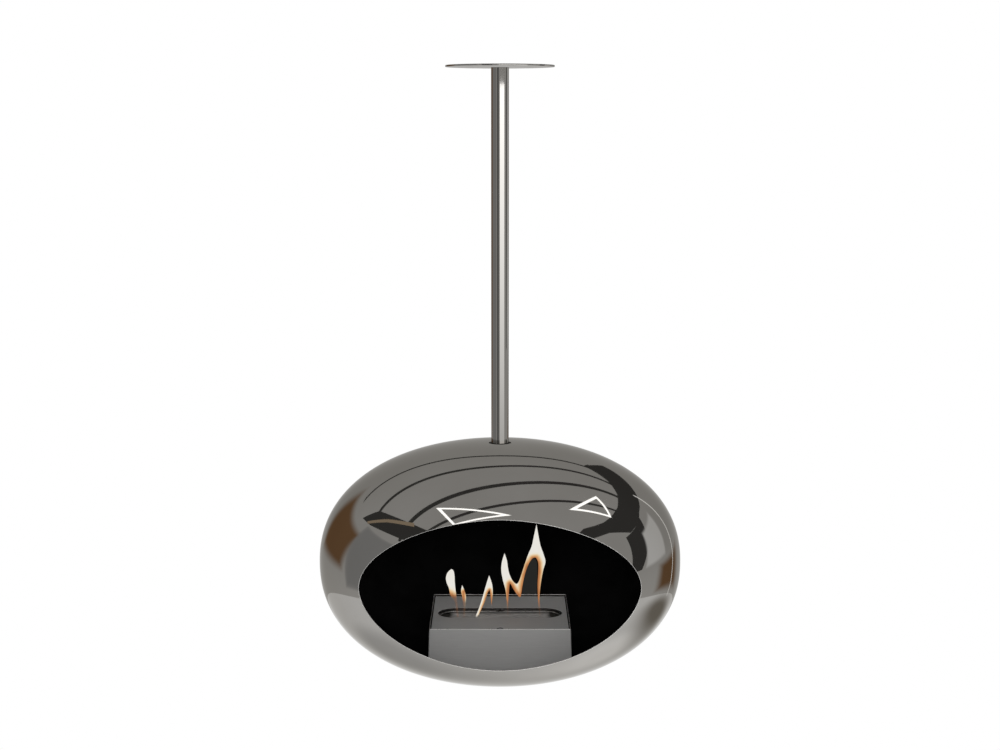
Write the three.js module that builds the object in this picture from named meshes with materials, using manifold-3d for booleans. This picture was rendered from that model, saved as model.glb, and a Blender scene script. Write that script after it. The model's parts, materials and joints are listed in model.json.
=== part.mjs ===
// Hanging fireplace: a polished round bowl, open at the front, that turns on a pole under a ceiling
// plate. A box burner for liquid fuel stands on the bowl's floor, and its top lifts out with the tank.
// Millimetres, +Z up, front towards -Y. The origin is the middle of the ceiling plate's top face.
import * as THREE from 'three';
import { mergeGeometries, mergeVertices } from 'three/addons/utils/BufferGeometryUtils.js';
import Module from 'manifold-3d';

const wasm = await Module();
wasm.setup();

// ---------- Driving sizes ----------

// Clearances
const fit = 0.3; // between pieces that touch, seat on each other or are welded together
const turnClearance = 0.9; // radial, between the pole and what turns round it
const insertClearance = 1.4; // beside the burner's top plate

// Ceiling plate and pole
const ceilingPlateDiameter = 174;
const ceilingPlateThickness = 3;
const ceilingHoleCount = 4;
const ceilingHoleDiameter = 6.5;
const ceilingCountersinkDiameter = 11.5;
const ceilingHoleFromEdge = 19;
const poleDiameter = 28.5;
const poleWall = 2;
const poleDrop = 604; // from the ceiling plate's underside to the bowl's crown
const bossLength = 36;
const grubScrewDiameter = 6;
const grubScrewCount = 2;
const grubScrewSpread = 70; // degrees between the grub screws, both at the back of the pole
const grubScrewDrop = 18; // below the ceiling plate
const grubScrewDepth = 5; // reach into the boss

// Bowl: a superellipse turned about the pole's axis
const bowlDiameter = 590;
const bowlHeight = 385.6;
const bowlRoundness = 2.21; // exponent of the superellipse
const bowlWall = 2;
const crownHoleDiameter = 36.5;

// Mouth: a flatter superellipse cut straight through the front, about the bowl's middle
const mouthWidth = 434;
const mouthHeight = 233;
const mouthRoundness = 1.86;

// Thrust bearing that the bowl turns on
const bearingBore = 30.3;
const bearingDiameter = 47;
const raceThickness = 3.3;
const ballDiameter = 6;
const ballCount = 10;
const ballTrackDepth = 0.8; // how far a ball sinks into each race
const cageThickness = 2;
const cageLip = 0.7; // metal left beside each ball at the cage's edges
const raceSeatDepth = 1.5;

// Crown plate, load flange and the bolt that holds the flange to the pole
const crownPlateDiameter = 120;
const crownPlateThickness = 7;
const grommetWall = 2.6;
const grommetRecess = 0.8;
const grommetHeight = 5.2;
const flangeRim = 7; // flange outside the bearing
const flangeThickness = 8;
const plugLength = 36;
const boltDiameter = 12;
const boltHeadWidth = 19; // across flats
const boltHeadHeight = 7.5;
const boltReach = 25; // thread inside the plug
const washerDiameter = 24;
const washerThickness = 2.5;

// Heat shield under the bearing
const shieldDiameter = 160;
const shieldThickness = 1.5;
const shieldRim = 8;
const shieldClearance = 6; // below the bolt's head
const shieldScrewCount = 3;
const shieldScrewDiameter = 6;
const shieldScrewFromEdge = 12; // of the crown plate
const shieldScrewReach = 3.5; // thread inside the crown plate
const shieldScrewHeadDiameter = 11;
const shieldScrewHeadHeight = 3.3;
const spacerDiameter = 10;

// Burner casing
const casingWidth = 226; // outside, at the rim
const casingDepth = 220;
const casingHeight = 76.3; // from the rim to the corners' feet on the bowl's floor
const casingTaper = 1.75; // degrees, each side, wider towards the floor
const casingWall = 1.5;
const ledgeDepth = 9.7; // turned-in tabs that carry the top plate
const ledgeWidth = 40;
const ledgeCentre = 75;
const trayThickness = 1.5;
const floorStudSpacing = 140;
const floorStudDiameter = 6;
const floorStudCollarDiameter = 12;
const floorNutWidth = 10;
const floorNutHeight = 5;
const studTip = 0.8; // thread past a nut

// Burner insert: top plate, deck, tank and fuel wick
const plateRecess = 3; // below the casing's rim
const topPlateThickness = 2;
const slotEndMargin = 11; // from the casing's side to the end of the flame slot
const slotWidth = 61;
const notchWidth = 10;
const notchLength = 18;
const deckThickness = 1.2;
const deckSideInset = 1; // inside the top plate's sides
const deckSlotStep = 3; // the deck's slot is smaller than the top plate's by this much all round
const deckFrontMargin = 48; // in front of the flame slot
const tankWidth = 203;
const tankLength = 130; // front to back
const tankWall = 1.2;
const tankFloorGap = 2.2; // above the nuts on the tray
const woolTopDrop = 8; // below the top plate's top face
const deckStudDiameter = 3;
const deckStudFromRailEnd = 16;
const deckNutWidth = 5.5;
const deckNutHeight = 2.4;

// Snuffer: a sheet that slides forward between the top plate and the deck to close the slot
const slideThickness = 1.5;
const slideSideCover = 1.5; // past each end of the slot
const slideCover = 3.5; // past the slot's front and back edges when shut
const slidePeek = 1.5; // of its front edge into the slot when open
const slideTabWidth = 12;
const slideTabLength = 5;
const slideTabHole = 4.5;
const stopWidth = 2;
const stopLength = 40;

// Facets round each kind of turned piece
const bowlFacets = 48;
const bowlRows = 13; // from the equator to each pole
const poleFacets = 24;
const studFacets = 10;
const mouthPoints = 56;

// ---------- Materials ----------

const metal = (color, roughness) => new THREE.MeshStandardMaterial({ color, roughness, metalness: 1 });
const polishedSteel = () => metal(0x8f8c88, 0.08);
const brushedSteel = () => metal(0x8b8985, 0.4);
const sheetSteel = () => metal(0x77757a, 0.5);
const zincSteel = () => metal(0xa3a29c, 0.45);
const bearingSteel = () => metal(0x9a9a9c, 0.2);
const brass = () => metal(0xb08d4c, 0.35);
const blackSteel = () => metal(0x1a1a1b, 0.75);
const blackRubber = () => new THREE.MeshStandardMaterial({ color: 0x101010, roughness: 0.85, metalness: 0 });
const whiteWool = () => new THREE.MeshStandardMaterial({ color: 0xd8d5cd, roughness: 1, metalness: 0 });

// ---------- Solids ----------

// One closed mesh with shared corners and no slivers that have lost an edge
function closed(geometry) {
  const bare = geometry.clone();
  bare.deleteAttribute('normal');
  bare.deleteAttribute('uv');
  const merged = mergeVertices(bare, 1e-4);
  const index = merged.index.array;
  const kept = [];
  for (let i = 0; i < index.length; i += 3) {
    const [a, b, c] = [index[i], index[i + 1], index[i + 2]];
    if (a !== b && b !== c && c !== a) kept.push(a, b, c);
  }
  merged.setIndex(kept);
  return merged;
}

function toManifold(geometry) {
  const mesh = closed(geometry);
  return new wasm.Manifold(new wasm.Mesh({
    numProp: 3,
    vertProperties: new Float32Array(mesh.attributes.position.array),
    triVerts: new Uint32Array(mesh.index.array),
  }));
}

function toGeometry(manifold) {
  const mesh = manifold.getMesh();
  const geometry = new THREE.BufferGeometry();
  geometry.setAttribute('position', new THREE.BufferAttribute(mesh.vertProperties, 3));
  geometry.setIndex(new THREE.BufferAttribute(mesh.triVerts, 1));
  return geometry;
}

function cut(geometry, ...tools) {
  const rest = tools.reduce((solid, tool) => solid.subtract(toManifold(tool)), toManifold(geometry));
  return toGeometry(rest);
}

function join(geometry, ...others) {
  const whole = others.reduce((solid, other) => solid.add(toManifold(other)), toManifold(geometry));
  return toGeometry(whole);
}

function common(geometry, other) {
  return toGeometry(toManifold(geometry).intersect(toManifold(other)));
}

// Copies of one cutting tool, kept apart, as one geometry
function copies(geometry, places) {
  return mergeGeometries(places.map(([x, y, z]) => closed(geometry).translate(x, y, z)));
}

// Points [radius, height] turned about the Z axis, up the outside first
function turned(points, facets) {
  const profile = points.map(([r, z]) => new THREE.Vector2(r < 1e-6 ? 0 : r, z));
  return new THREE.LatheGeometry(profile, facets).rotateX(Math.PI / 2);
}

function drum(radius, bottom, top, facets) {
  return turned([[0, bottom], [radius, bottom], [radius, top], [0, top]], facets);
}

function sleeve(outer, inner, bottom, top, facets) {
  const ring = [[inner, bottom], [outer, bottom], [outer, top], [inner, top], [inner, bottom]];
  return turned(ring, facets);
}

// A hexagonal prism with its flats across the given width
function hexagon(width, bottom, top) {
  return drum(width / Math.sqrt(3), bottom, top, 6);
}

// A box from its lowest corner to its highest
function block([x0, y0, z0], [x1, y1, z1]) {
  const box = new THREE.BoxGeometry(x1 - x0, y1 - y0, z1 - z0);
  return box.translate((x0 + x1) / 2, (y0 + y1) / 2, (z0 + z1) / 2);
}

// A flat outline raised from bottom to top
function prism(shape, bottom, top, curveSegments = 12) {
  const options = { depth: top - bottom, bevelEnabled: false, curveSegments };
  return new THREE.ExtrudeGeometry(shape, options).translate(0, 0, bottom);
}

// A slot outline with round ends, long in X, about (0, centreY)
function slotOutline(length, width, centreY, path = new THREE.Shape()) {
  const radius = width / 2;
  const straight = length / 2 - radius;
  path.moveTo(-straight, centreY - radius);
  path.lineTo(straight, centreY - radius);
  path.absarc(straight, centreY, radius, -Math.PI / 2, Math.PI / 2, false);
  path.lineTo(-straight, centreY + radius);
  path.absarc(-straight, centreY, radius, Math.PI / 2, Math.PI * 1.5, false);
  return path;
}

function piece(name, geometry, material, group, place = [0, 0, 0]) {
  const mesh = new THREE.Mesh(closed(geometry), material);
  mesh.name = name;
  mesh.position.set(...place);
  group.add(mesh);
}

// One numbered mesh at each place
function pieces(name, geometry, places, material, group) {
  places.forEach((place, i) => piece(`${name}_${i + 1}`, geometry, material, group, place));
}

function groupAt(parent, x, y, z) {
  const group = new THREE.Group();
  group.position.set(x, y, z);
  parent.add(group);
  return group;
}

// Places on a circle about the Z axis, the first one at the given angle in degrees from +X
function aroundCircle(count, radius, start = 0, step = 360 / count) {
  const angles = Array.from({ length: count }, (_, i) => THREE.MathUtils.degToRad(start + i * step));
  return angles.map((angle) => [radius * Math.cos(angle), radius * Math.sin(angle), 0]);
}

// ---------- The bowl's curve ----------

const bowlRadius = bowlDiameter / 2;
const bowlHalfHeight = bowlHeight / 2;

// Point [radius, height] on the bowl's outside at an angle from its equator, moved inwards by inset
function bowlPoint(angle, inset = 0) {
  const across = Math.max(Math.cos(angle), 0);
  const up = Math.sin(angle);
  const power = 2 / bowlRoundness;
  const slopeR = across ** (2 - power) / bowlRadius;
  const slopeZ = (Math.sign(up) * Math.abs(up) ** (2 - power)) / bowlHalfHeight;
  const length = Math.hypot(slopeR, slopeZ);
  const r = bowlRadius * across ** power - (inset * slopeR) / length;
  const z = Math.sign(up) * bowlHalfHeight * Math.abs(up) ** power - (inset * slopeZ) / length;
  return [r, z];
}

// Angle from the equator, in the upper half, at which the bowl's curve has the given radius
function bowlAngleAt(radius, inset = 0) {
  let low = 0;
  let high = Math.PI / 2;
  for (let i = 0; i < 50; i += 1) {
    const middle = (low + high) / 2;
    if (bowlPoint(middle, inset)[0] > radius) low = middle;
    else high = middle;
  }
  return (low + high) / 2;
}

// Height above the bowl's middle of its curve at a radius; the floor is as far below it
function bowlHeightAt(radius, inset = 0) {
  return bowlPoint(bowlAngleAt(radius, inset), inset)[1];
}

// Everything within the bowl's outside, moved inwards by inset, about the bowl's middle
function bowlBody(inset) {
  const steps = 2 * bowlRows;
  const curve = Array.from({ length: steps + 1 }, (_, i) => bowlPoint((i / steps - 0.5) * Math.PI, inset));
  return turned(curve, bowlFacets);
}

// The bowl's inside, less a clearance, raised to a frame whose origin is at a level above its middle
function bowlInside(level) {
  return bowlBody(bowlWall + fit).translate(0, 0, -level);
}

// ---------- Levels ----------

// Of the whole, from the ceiling
const poleTop = -(ceilingPlateThickness + fit);
const crownZ = -(ceilingPlateThickness + poleDrop);
const bowlMiddleZ = crownZ - bowlHalfHeight;

// Of the bearing stack, from the crown down
const raceSpacing = ballDiameter - 2 * ballTrackDepth;
const crownPlateBottom = -(bowlWall + fit + crownPlateThickness);
const upperSeat = crownPlateBottom + raceSeatDepth;
const upperRaceTop = upperSeat - fit;
const upperRaceBottom = upperRaceTop - raceThickness;
const lowerRaceTop = upperRaceBottom - raceSpacing;
const lowerRaceBottom = lowerRaceTop - raceThickness;
const ballLevel = (upperRaceBottom + lowerRaceTop) / 2;
const lowerSeat = lowerRaceBottom - fit;
const flangeTop = lowerSeat + raceSeatDepth;
const flangeBottom = flangeTop - flangeThickness;
const washerTop = flangeBottom - fit;
const boltHeadTop = washerTop - washerThickness - fit;
const boltHeadBottom = boltHeadTop - boltHeadHeight;
const shieldTop = boltHeadBottom - shieldClearance;
const poleEnd = lowerSeat + fit;
const grommetTop = -grommetRecess;
const grommetBottom = grommetTop - grommetHeight;
const shieldScrewTop = crownPlateBottom + shieldScrewReach;

// Radii of the bearing stack
const poleRadius = poleDiameter / 2;
const poleBoreRadius = poleRadius - poleWall;
const bossRadius = poleBoreRadius - fit;
const boltHoleRadius = boltDiameter / 2 + fit;
const seatRadius = bearingDiameter / 2 + fit;
const pitchRadius = (bearingBore + bearingDiameter) / 4;
const crownHoleRadius = crownHoleDiameter / 2;
const shieldScrewPlaces = aroundCircle(shieldScrewCount, crownPlateDiameter / 2 - shieldScrewFromEdge, 90);

// Of the burner, from the casing's rim down
const taper = Math.tan(THREE.MathUtils.degToRad(casingTaper));
const footHalfWidth = casingWidth / 2 + casingHeight * taper;
const footHalfDepth = casingDepth / 2 + casingHeight * taper;
const floorAtFeet = -bowlHeightAt(Math.hypot(footHalfWidth, footHalfDepth), bowlWall + fit);
const rimLevel = floorAtFeet + casingHeight; // above the bowl's middle
const topPlateTop = -plateRecess;
const topPlateBottom = topPlateTop - topPlateThickness;
const slideTop = topPlateBottom - fit;
const slideBottom = slideTop - slideThickness;
const deckTop = slideBottom - fit;
const deckBottom = deckTop - deckThickness;
const tankTop = deckBottom - fit;
const trayBottom = -casingHeight;
const trayTop = trayBottom + trayThickness;
const floorNutBottom = trayTop + fit;
const floorNutTop = floorNutBottom + floorNutHeight;
const tankBottom = floorNutTop + tankFloorGap;

// Plan of the burner
const rimInnerHalfWidth = casingWidth / 2 - casingWall;
const rimInnerHalfDepth = casingDepth / 2 - casingWall;
const topPlateHalfWidth = rimInnerHalfWidth - insertClearance;
const topPlateBack = rimInnerHalfDepth - insertClearance;
const topPlateFront = -(rimInnerHalfDepth - fit);
const slotLength = casingWidth - 2 * slotEndMargin;
const slideLength = slotWidth + 2 * slideCover;
const slideHalfWidth = slotLength / 2 + slideSideCover;
const deckHalfWidth = topPlateHalfWidth - deckSideInset;
const deckBack = rimInnerHalfDepth - ledgeDepth - fit;
const rearStopBack = deckBack - fit;
const rearStopFront = rearStopBack - stopWidth;
const slideBack = rearStopFront - fit;
const slideFront = slideBack - slideLength;
const slotBack = slideFront + slidePeek;
const slotCentreY = slotBack - slotWidth / 2;
const slotFront = slotBack - slotWidth;
const slideTravel = slideFront - (slotFront - slideCover);
const frontStopBack = slideFront - slideTravel - fit;
const deckFront = slotFront - deckFrontMargin;
const railInner = slideHalfWidth + fit;
const railOuter = deckHalfWidth - fit;
const deckStudPlaces = [-1, 1].flatMap((side) => [
  [side * (railInner + railOuter) / 2, deckFront + fit + deckStudFromRailEnd / 2, 0],
  [side * (railInner + railOuter) / 2, deckBack - fit - deckStudFromRailEnd, 0],
]);
const floorStudPlaces = [-1, 1].flatMap((side) => [
  [side * floorStudSpacing / 2, -floorStudSpacing / 2, 0],
  [side * floorStudSpacing / 2, floorStudSpacing / 2, 0],
]);

// ---------- Ceiling plate and pole ----------

function ceilingPlate() {
  const plate = drum(ceilingPlateDiameter / 2, -ceilingPlateThickness, 0, bowlFacets);
  const places = aroundCircle(ceilingHoleCount, ceilingPlateDiameter / 2 - ceilingHoleFromEdge, 45);
  const hole = ceilingHoleDiameter / 2;
  const sink = ceilingCountersinkDiameter / 2;
  const below = -ceilingPlateThickness - 1;
  const profile = [[0, below], [sink + 1, below], [hole, below + 1 + sink - hole], [hole, 1], [0, 1]];
  return cut(plate, copies(turned(profile, studFacets), places));
}

// Grub screws lie across the pole, at its back
function grubScrewAxes(geometry) {
  const first = 90 - (grubScrewSpread * (grubScrewCount - 1)) / 2;
  return Array.from({ length: grubScrewCount }, (_, i) => {
    const angle = THREE.MathUtils.degToRad(first + i * grubScrewSpread);
    return geometry.clone().rotateY(Math.PI / 2).rotateZ(angle).translate(0, 0, -grubScrewDrop);
  });
}

const grubScrewInner = bossRadius - grubScrewDepth;
const grubScrewHole = () => drum(grubScrewDiameter / 2 + fit, grubScrewInner - fit, poleRadius + 1, studFacets);

function plateBoss() {
  const boss = drum(bossRadius, poleTop - bossLength, poleTop, poleFacets);
  return cut(boss, ...grubScrewAxes(grubScrewHole()));
}

const grubScrew = () => drum(grubScrewDiameter / 2, grubScrewInner, poleRadius - fit, studFacets);

function pole() {
  const tube = sleeve(poleRadius, poleBoreRadius, crownZ + poleEnd, poleTop, poleFacets);
  return cut(tube, ...grubScrewAxes(grubScrewHole()));
}

// ---------- Bearing stack under the crown ----------

function poleEndPlug() {
  const outer = bossRadius;
  const top = poleEnd + plugLength;
  const holeTop = boltHeadTop + boltReach + flangeThickness + washerThickness;
  return turned([
    [boltHoleRadius, poleEnd], [outer, poleEnd], [outer, top], [0, top],
    [0, holeTop + fit], [boltHoleRadius, holeTop + fit], [boltHoleRadius, poleEnd],
  ], poleFacets);
}

function loadFlange() {
  const outer = bearingDiameter / 2 + flangeRim;
  return turned([
    [boltHoleRadius, flangeBottom], [outer, flangeBottom], [outer, flangeTop], [seatRadius, flangeTop],
    [seatRadius, lowerSeat], [boltHoleRadius, lowerSeat], [boltHoleRadius, flangeBottom],
  ], poleFacets);
}

function hangerBolt() {
  const shankTop = boltHeadTop + boltReach + flangeThickness + washerThickness;
  const shank = drum(boltDiameter / 2, boltHeadBottom + 1, shankTop, poleFacets);
  return join(hexagon(boltHeadWidth, boltHeadBottom, boltHeadTop), shank);
}

// A bearing race with its ball track, seen from its track side up; flipped for the upper one
function race(flip) {
  const back = flip ? upperRaceTop : lowerRaceBottom;
  const face = flip ? upperRaceBottom : lowerRaceTop;
  const inner = bearingBore / 2;
  const outer = bearingDiameter / 2;
  const trackRadius = ballDiameter / 2 + fit;
  const reach = raceSpacing / 2;
  const half = Math.acos(reach / trackRadius);
  const steps = 6;
  const track = Array.from({ length: steps + 1 }, (_, i) => {
    const angle = half - (2 * half * i) / steps;
    const drop = trackRadius * Math.cos(angle);
    return [pitchRadius + trackRadius * Math.sin(angle), ballLevel + (flip ? drop : -drop)];
  });
  const ring = [[inner, back], [outer, back], [outer, face], ...track, [inner, face], [inner, back]];
  return turned(flip ? ring.reverse() : ring, poleFacets);
}

function bearingCage() {
  const hole = ballDiameter / 2 + fit;
  const half = cageThickness / 2;
  const ring = sleeve(
    pitchRadius + hole + cageLip, pitchRadius - hole - cageLip, ballLevel - half, ballLevel + half, poleFacets,
  );
  const cutter = drum(hole, ballLevel - half - 1, ballLevel + half + 1, studFacets);
  return cut(ring, copies(cutter, aroundCircle(ballCount, pitchRadius)));
}

const bearingBall = () => new THREE.IcosahedronGeometry(ballDiameter / 2, 1).translate(0, 0, ballLevel);

// Dished plate welded under the crown: its top follows the bowl, its underside seats the bearing
function crownPlate() {
  const radius = crownPlateDiameter / 2;
  const grommetSeat = grommetBottom - fit;
  const bore = bearingBore / 2 + turnClearance;
  const blank = turned([
    [seatRadius, crownPlateBottom], [radius, crownPlateBottom], [radius, 0], [crownHoleRadius, 0],
    [crownHoleRadius, grommetSeat], [bore, grommetSeat], [bore, upperSeat], [seatRadius, upperSeat],
    [seatRadius, crownPlateBottom],
  ], poleFacets);
  const hole = drum(
    shieldScrewDiameter / 2 + fit, crownPlateBottom - 1, crownPlateBottom + shieldScrewReach + fit, studFacets,
  );
  return cut(common(blank, bowlInside(bowlHalfHeight)), copies(hole, shieldScrewPlaces));
}

// Soft bush in the crown hole that hides the gap round the pole
function poleGrommet() {
  const outer = crownHoleRadius - fit;
  const chamfer = 0.8;
  return turned([
    [outer - grommetWall, grommetBottom], [outer, grommetBottom], [outer, grommetTop - chamfer],
    [outer - chamfer, grommetTop], [outer - grommetWall, grommetTop], [outer - grommetWall, grommetBottom],
  ], poleFacets);
}

// ---------- Heat shield ----------

function heatShield() {
  const outer = shieldDiameter / 2;
  const inner = outer - shieldThickness;
  const bottom = shieldTop - shieldThickness;
  const dish = turned([
    [0, bottom], [outer, bottom], [outer, shieldTop + shieldRim], [inner, shieldTop + shieldRim],
    [inner, shieldTop], [0, shieldTop],
  ], bowlFacets);
  const hole = drum(shieldScrewDiameter / 2 + fit, bottom - 1, shieldTop + 1, studFacets);
  return cut(dish, copies(hole, shieldScrewPlaces));
}

function shieldSpacer() {
  const bore = shieldScrewDiameter / 2 + fit;
  return sleeve(spacerDiameter / 2, bore, shieldTop + fit, crownPlateBottom - fit, studFacets);
}

function shieldScrew() {
  const shank = shieldScrewDiameter / 2;
  const head = shieldScrewHeadDiameter / 2;
  const seat = shieldTop - shieldThickness - fit;
  const bottom = seat - shieldScrewHeadHeight;
  return turned([
    [0, bottom], [head * 0.6, bottom], [head, seat - shieldScrewHeadHeight / 3], [head, seat],
    [shank, seat], [shank, shieldScrewTop], [0, shieldScrewTop],
  ], studFacets);
}

// ---------- Shell ----------

function mouthOutline() {
  const power = 2 / mouthRoundness;
  const points = Array.from({ length: mouthPoints }, (_, i) => {
    const angle = (2 * Math.PI * i) / mouthPoints;
    const [c, s] = [Math.cos(angle), Math.sin(angle)];
    const x = (mouthWidth / 2) * Math.sign(c) * Math.abs(c) ** power;
    const z = (mouthHeight / 2) * Math.sign(s) * Math.abs(s) ** power;
    return new THREE.Vector2(x, z);
  });
  return new THREE.Shape(points);
}

function shell() {
  const mouth = prism(mouthOutline(), 0, bowlRadius).rotateX(Math.PI / 2).translate(0, -bowlRadius / 4, 0);
  const crownHole = drum(crownHoleRadius, 0, bowlHalfHeight + 1, poleFacets);
  return cut(bowlBody(0), bowlBody(bowlWall), mouth, crownHole);
}

// ---------- Burner casing ----------

// A box that grows by the casing's taper from the rim down to a depth
function taperedBox(rimHalfWidth, rimHalfDepth, depth, top = 0) {
  const shape = new THREE.BoxGeometry(2, 2, depth + top).translate(0, 0, (top - depth) / 2);
  const corners = shape.attributes.position;
  for (let i = 0; i < corners.count; i += 1) {
    const growth = -corners.getZ(i) * taper;
    corners.setX(i, corners.getX(i) * (rimHalfWidth + growth));
    corners.setY(i, corners.getY(i) * (rimHalfDepth + growth));
  }
  return shape;
}

// Four sides, cut to the bowl's floor, with tabs that carry the top plate
function burnerCasing() {
  const depth = rimLevel + bowlHalfHeight;
  const outside = taperedBox(casingWidth / 2, casingDepth / 2, depth);
  const inside = taperedBox(rimInnerHalfWidth, rimInnerHalfDepth, depth + 1, 1);
  const sides = common(cut(outside, inside), bowlInside(rimLevel));
  const top = topPlateBottom - fit;
  const root = casingWall / 2;
  const ledges = [-1, 1].flatMap((side) => [-1, 1].map((end) => {
    const x = side * ledgeCentre;
    const inner = end * (rimInnerHalfDepth - ledgeDepth);
    const outer = end * (rimInnerHalfDepth + root);
    return block(
      [x - ledgeWidth / 2, Math.min(inner, outer), top - casingWall],
      [x + ledgeWidth / 2, Math.max(inner, outer), top],
    );
  }));
  return join(sides, ...ledges);
}

function casingTray() {
  const halfWidth = rimInnerHalfWidth - fit - trayBottom * taper;
  const halfDepth = rimInnerHalfDepth - fit - trayBottom * taper;
  const slack = trayThickness * taper;
  const sheet = block(
    [-halfWidth + slack, -halfDepth + slack, trayBottom], [halfWidth - slack, halfDepth - slack, trayTop],
  );
  const hole = drum(floorStudDiameter / 2 + fit, trayBottom - 1, trayTop + 1, studFacets);
  const flat = cut(sheet, copies(hole, floorStudPlaces));
  return common(flat, bowlInside(rimLevel));
}

// Stud welded to the bowl's floor: a collar under the tray and a thread through it
function floorStud([x, y]) {
  const collar = floorStudCollarDiameter / 2;
  const thread = floorStudDiameter / 2;
  const seat = trayBottom - fit;
  const tip = floorNutTop + studTip;
  const bottom = -(rimLevel + bowlHalfHeight);
  const stud = turned([
    [0, bottom], [collar, bottom], [collar, seat], [thread, seat], [thread, tip], [0, tip],
  ], studFacets);
  return common(stud.translate(x, y, 0), bowlInside(rimLevel));
}

function nut(width, bore, bottom, top) {
  return cut(hexagon(width, bottom, top), drum(bore, bottom - 1, top + 1, studFacets));
}

const trayNut = () => nut(floorNutWidth, floorStudDiameter / 2 + fit, floorNutBottom, floorNutTop);

// ---------- Burner insert ----------

function topPlate() {
  const notch = notchWidth / 2;
  const notchEnd = topPlateFront + notchLength - notch;
  const outline = new THREE.Shape();
  outline.moveTo(-topPlateHalfWidth, topPlateFront);
  outline.lineTo(-notch, topPlateFront);
  outline.lineTo(-notch, notchEnd);
  outline.absarc(0, notchEnd, notch, Math.PI, 0, true);
  outline.lineTo(notch, topPlateFront);
  outline.lineTo(topPlateHalfWidth, topPlateFront);
  outline.lineTo(topPlateHalfWidth, topPlateBack);
  outline.lineTo(-topPlateHalfWidth, topPlateBack);
  outline.holes.push(slotOutline(slotLength, slotWidth, slotCentreY, new THREE.Path()));
  return prism(outline, topPlateBottom, topPlateTop);
}

function tankDeck() {
  const sheet = block([-deckHalfWidth, deckFront, deckBottom], [deckHalfWidth, deckBack, deckTop]);
  const slot = slotOutline(slotLength - 2 * deckSlotStep, slotWidth - 2 * deckSlotStep, slotCentreY);
  const hole = drum(deckStudDiameter / 2 + fit, deckBottom - 1, deckTop + 1, studFacets);
  return cut(sheet, prism(slot, deckBottom - 1, deckTop + 1), copies(hole, deckStudPlaces));
}

const tankHalfWidth = tankWidth / 2;
const tankFront = slotCentreY - tankLength / 2;
const tankBack = slotCentreY + tankLength / 2;

function fuelTank() {
  const outside = block([-tankHalfWidth, tankFront, tankBottom], [tankHalfWidth, tankBack, tankTop]);
  const inside = block(
    [-tankHalfWidth + tankWall, tankFront + tankWall, tankBottom + tankWall],
    [tankHalfWidth - tankWall, tankBack - tankWall, tankTop + 1],
  );
  return cut(outside, inside);
}

function ceramicWool() {
  const gap = tankWall + fit;
  return block(
    [-tankHalfWidth + gap, tankFront + gap, tankBottom + gap],
    [tankHalfWidth - gap, tankBack - gap, topPlateTop - woolTopDrop],
  );
}

// Spacer sheet between the top plate and the deck: a rail at each side of the slide, a stop behind it
// and two stops in front, apart in the middle so that the slide's tab runs between them
function slideGuide() {
  const front = deckFront + fit;
  const back = deckBack - fit;
  const sheet = block([-railOuter, front, slideBottom], [railOuter, back, slideTop]);
  const space = block([-railInner, front - 1, slideBottom - 1], [railInner, rearStopFront, slideTop + 1]);
  const stops = [-1, 1].map((side) => {
    const [near, far] = [side * (railInner - stopLength), side * (railInner + fit)];
    return block(
      [Math.min(near, far), frontStopBack - stopWidth, slideBottom],
      [Math.max(near, far), frontStopBack, slideTop],
    );
  });
  const hole = drum(deckStudDiameter / 2 + fit, slideBottom - 1, slideTop + 1, studFacets);
  return cut(join(cut(sheet, space), ...stops), copies(hole, deckStudPlaces));
}

const deckStud = () => drum(deckStudDiameter / 2, tankTop - deckNutHeight - studTip, slideTop, studFacets);
const deckNut = () => nut(deckNutWidth, deckStudDiameter / 2 + fit, tankTop - deckNutHeight, tankTop);

function snufferSlide() {
  const sheet = block([-slideHalfWidth, slideFront, slideBottom], [slideHalfWidth, slideBack, slideTop]);
  const half = slideTabWidth / 2;
  const tab = block([-half, slideFront - slideTabLength, slideBottom], [half, slideFront + 1, slideTop]);
  const hole = drum(slideTabHole / 2, slideBottom - 1, slideTop + 1, studFacets);
  return cut(join(sheet, tab), hole.translate(0, slideFront - slideTabLength / 2 + slideTabHole / 4, 0));
}

// ---------- Assembly ----------

const fireplace = new THREE.Group();

// Fixed to the ceiling
const hanger = groupAt(fireplace, 0, 0, 0);
piece('ceiling_plate', ceilingPlate(), polishedSteel(), hanger);
piece('plate_boss', plateBoss(), zincSteel(), hanger);
grubScrewAxes(grubScrew()).forEach((screw, i) => piece(`grub_screw_${i + 1}`, screw, blackSteel(), hanger));
piece('pole', pole(), polishedSteel(), hanger);

const poleFoot = groupAt(hanger, 0, 0, crownZ);
piece('pole_end_plug', poleEndPlug(), zincSteel(), poleFoot);
piece('load_flange', loadFlange(), zincSteel(), poleFoot);
piece('lock_washer', sleeve(washerDiameter / 2, boltHoleRadius, washerTop - washerThickness, washerTop, poleFacets),
  zincSteel(), poleFoot);
piece('hanger_bolt', hangerBolt(), zincSteel(), poleFoot);
piece('bearing_lower_race', race(false), bearingSteel(), poleFoot);

// Rolls between the races
const ballRing = groupAt(fireplace, 0, 0, crownZ);
piece('bearing_cage', bearingCage(), brass(), ballRing);
pieces('bearing_ball', bearingBall(), aroundCircle(ballCount, pitchRadius), bearingSteel(), ballRing);

// Turns with the bowl
const bowl = groupAt(fireplace, 0, 0, bowlMiddleZ);
piece('shell', shell(), polishedSteel(), bowl);

const crown = groupAt(bowl, 0, 0, bowlHalfHeight);
piece('crown_plate', crownPlate(), blackSteel(), crown);
piece('pole_grommet', poleGrommet(), blackRubber(), crown);
piece('bearing_upper_race', race(true), bearingSteel(), crown);
piece('heat_shield', heatShield(), blackSteel(), crown);
pieces('shield_spacer', shieldSpacer(), shieldScrewPlaces, zincSteel(), crown);
pieces('shield_screw', shieldScrew(), shieldScrewPlaces, zincSteel(), crown);

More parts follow.
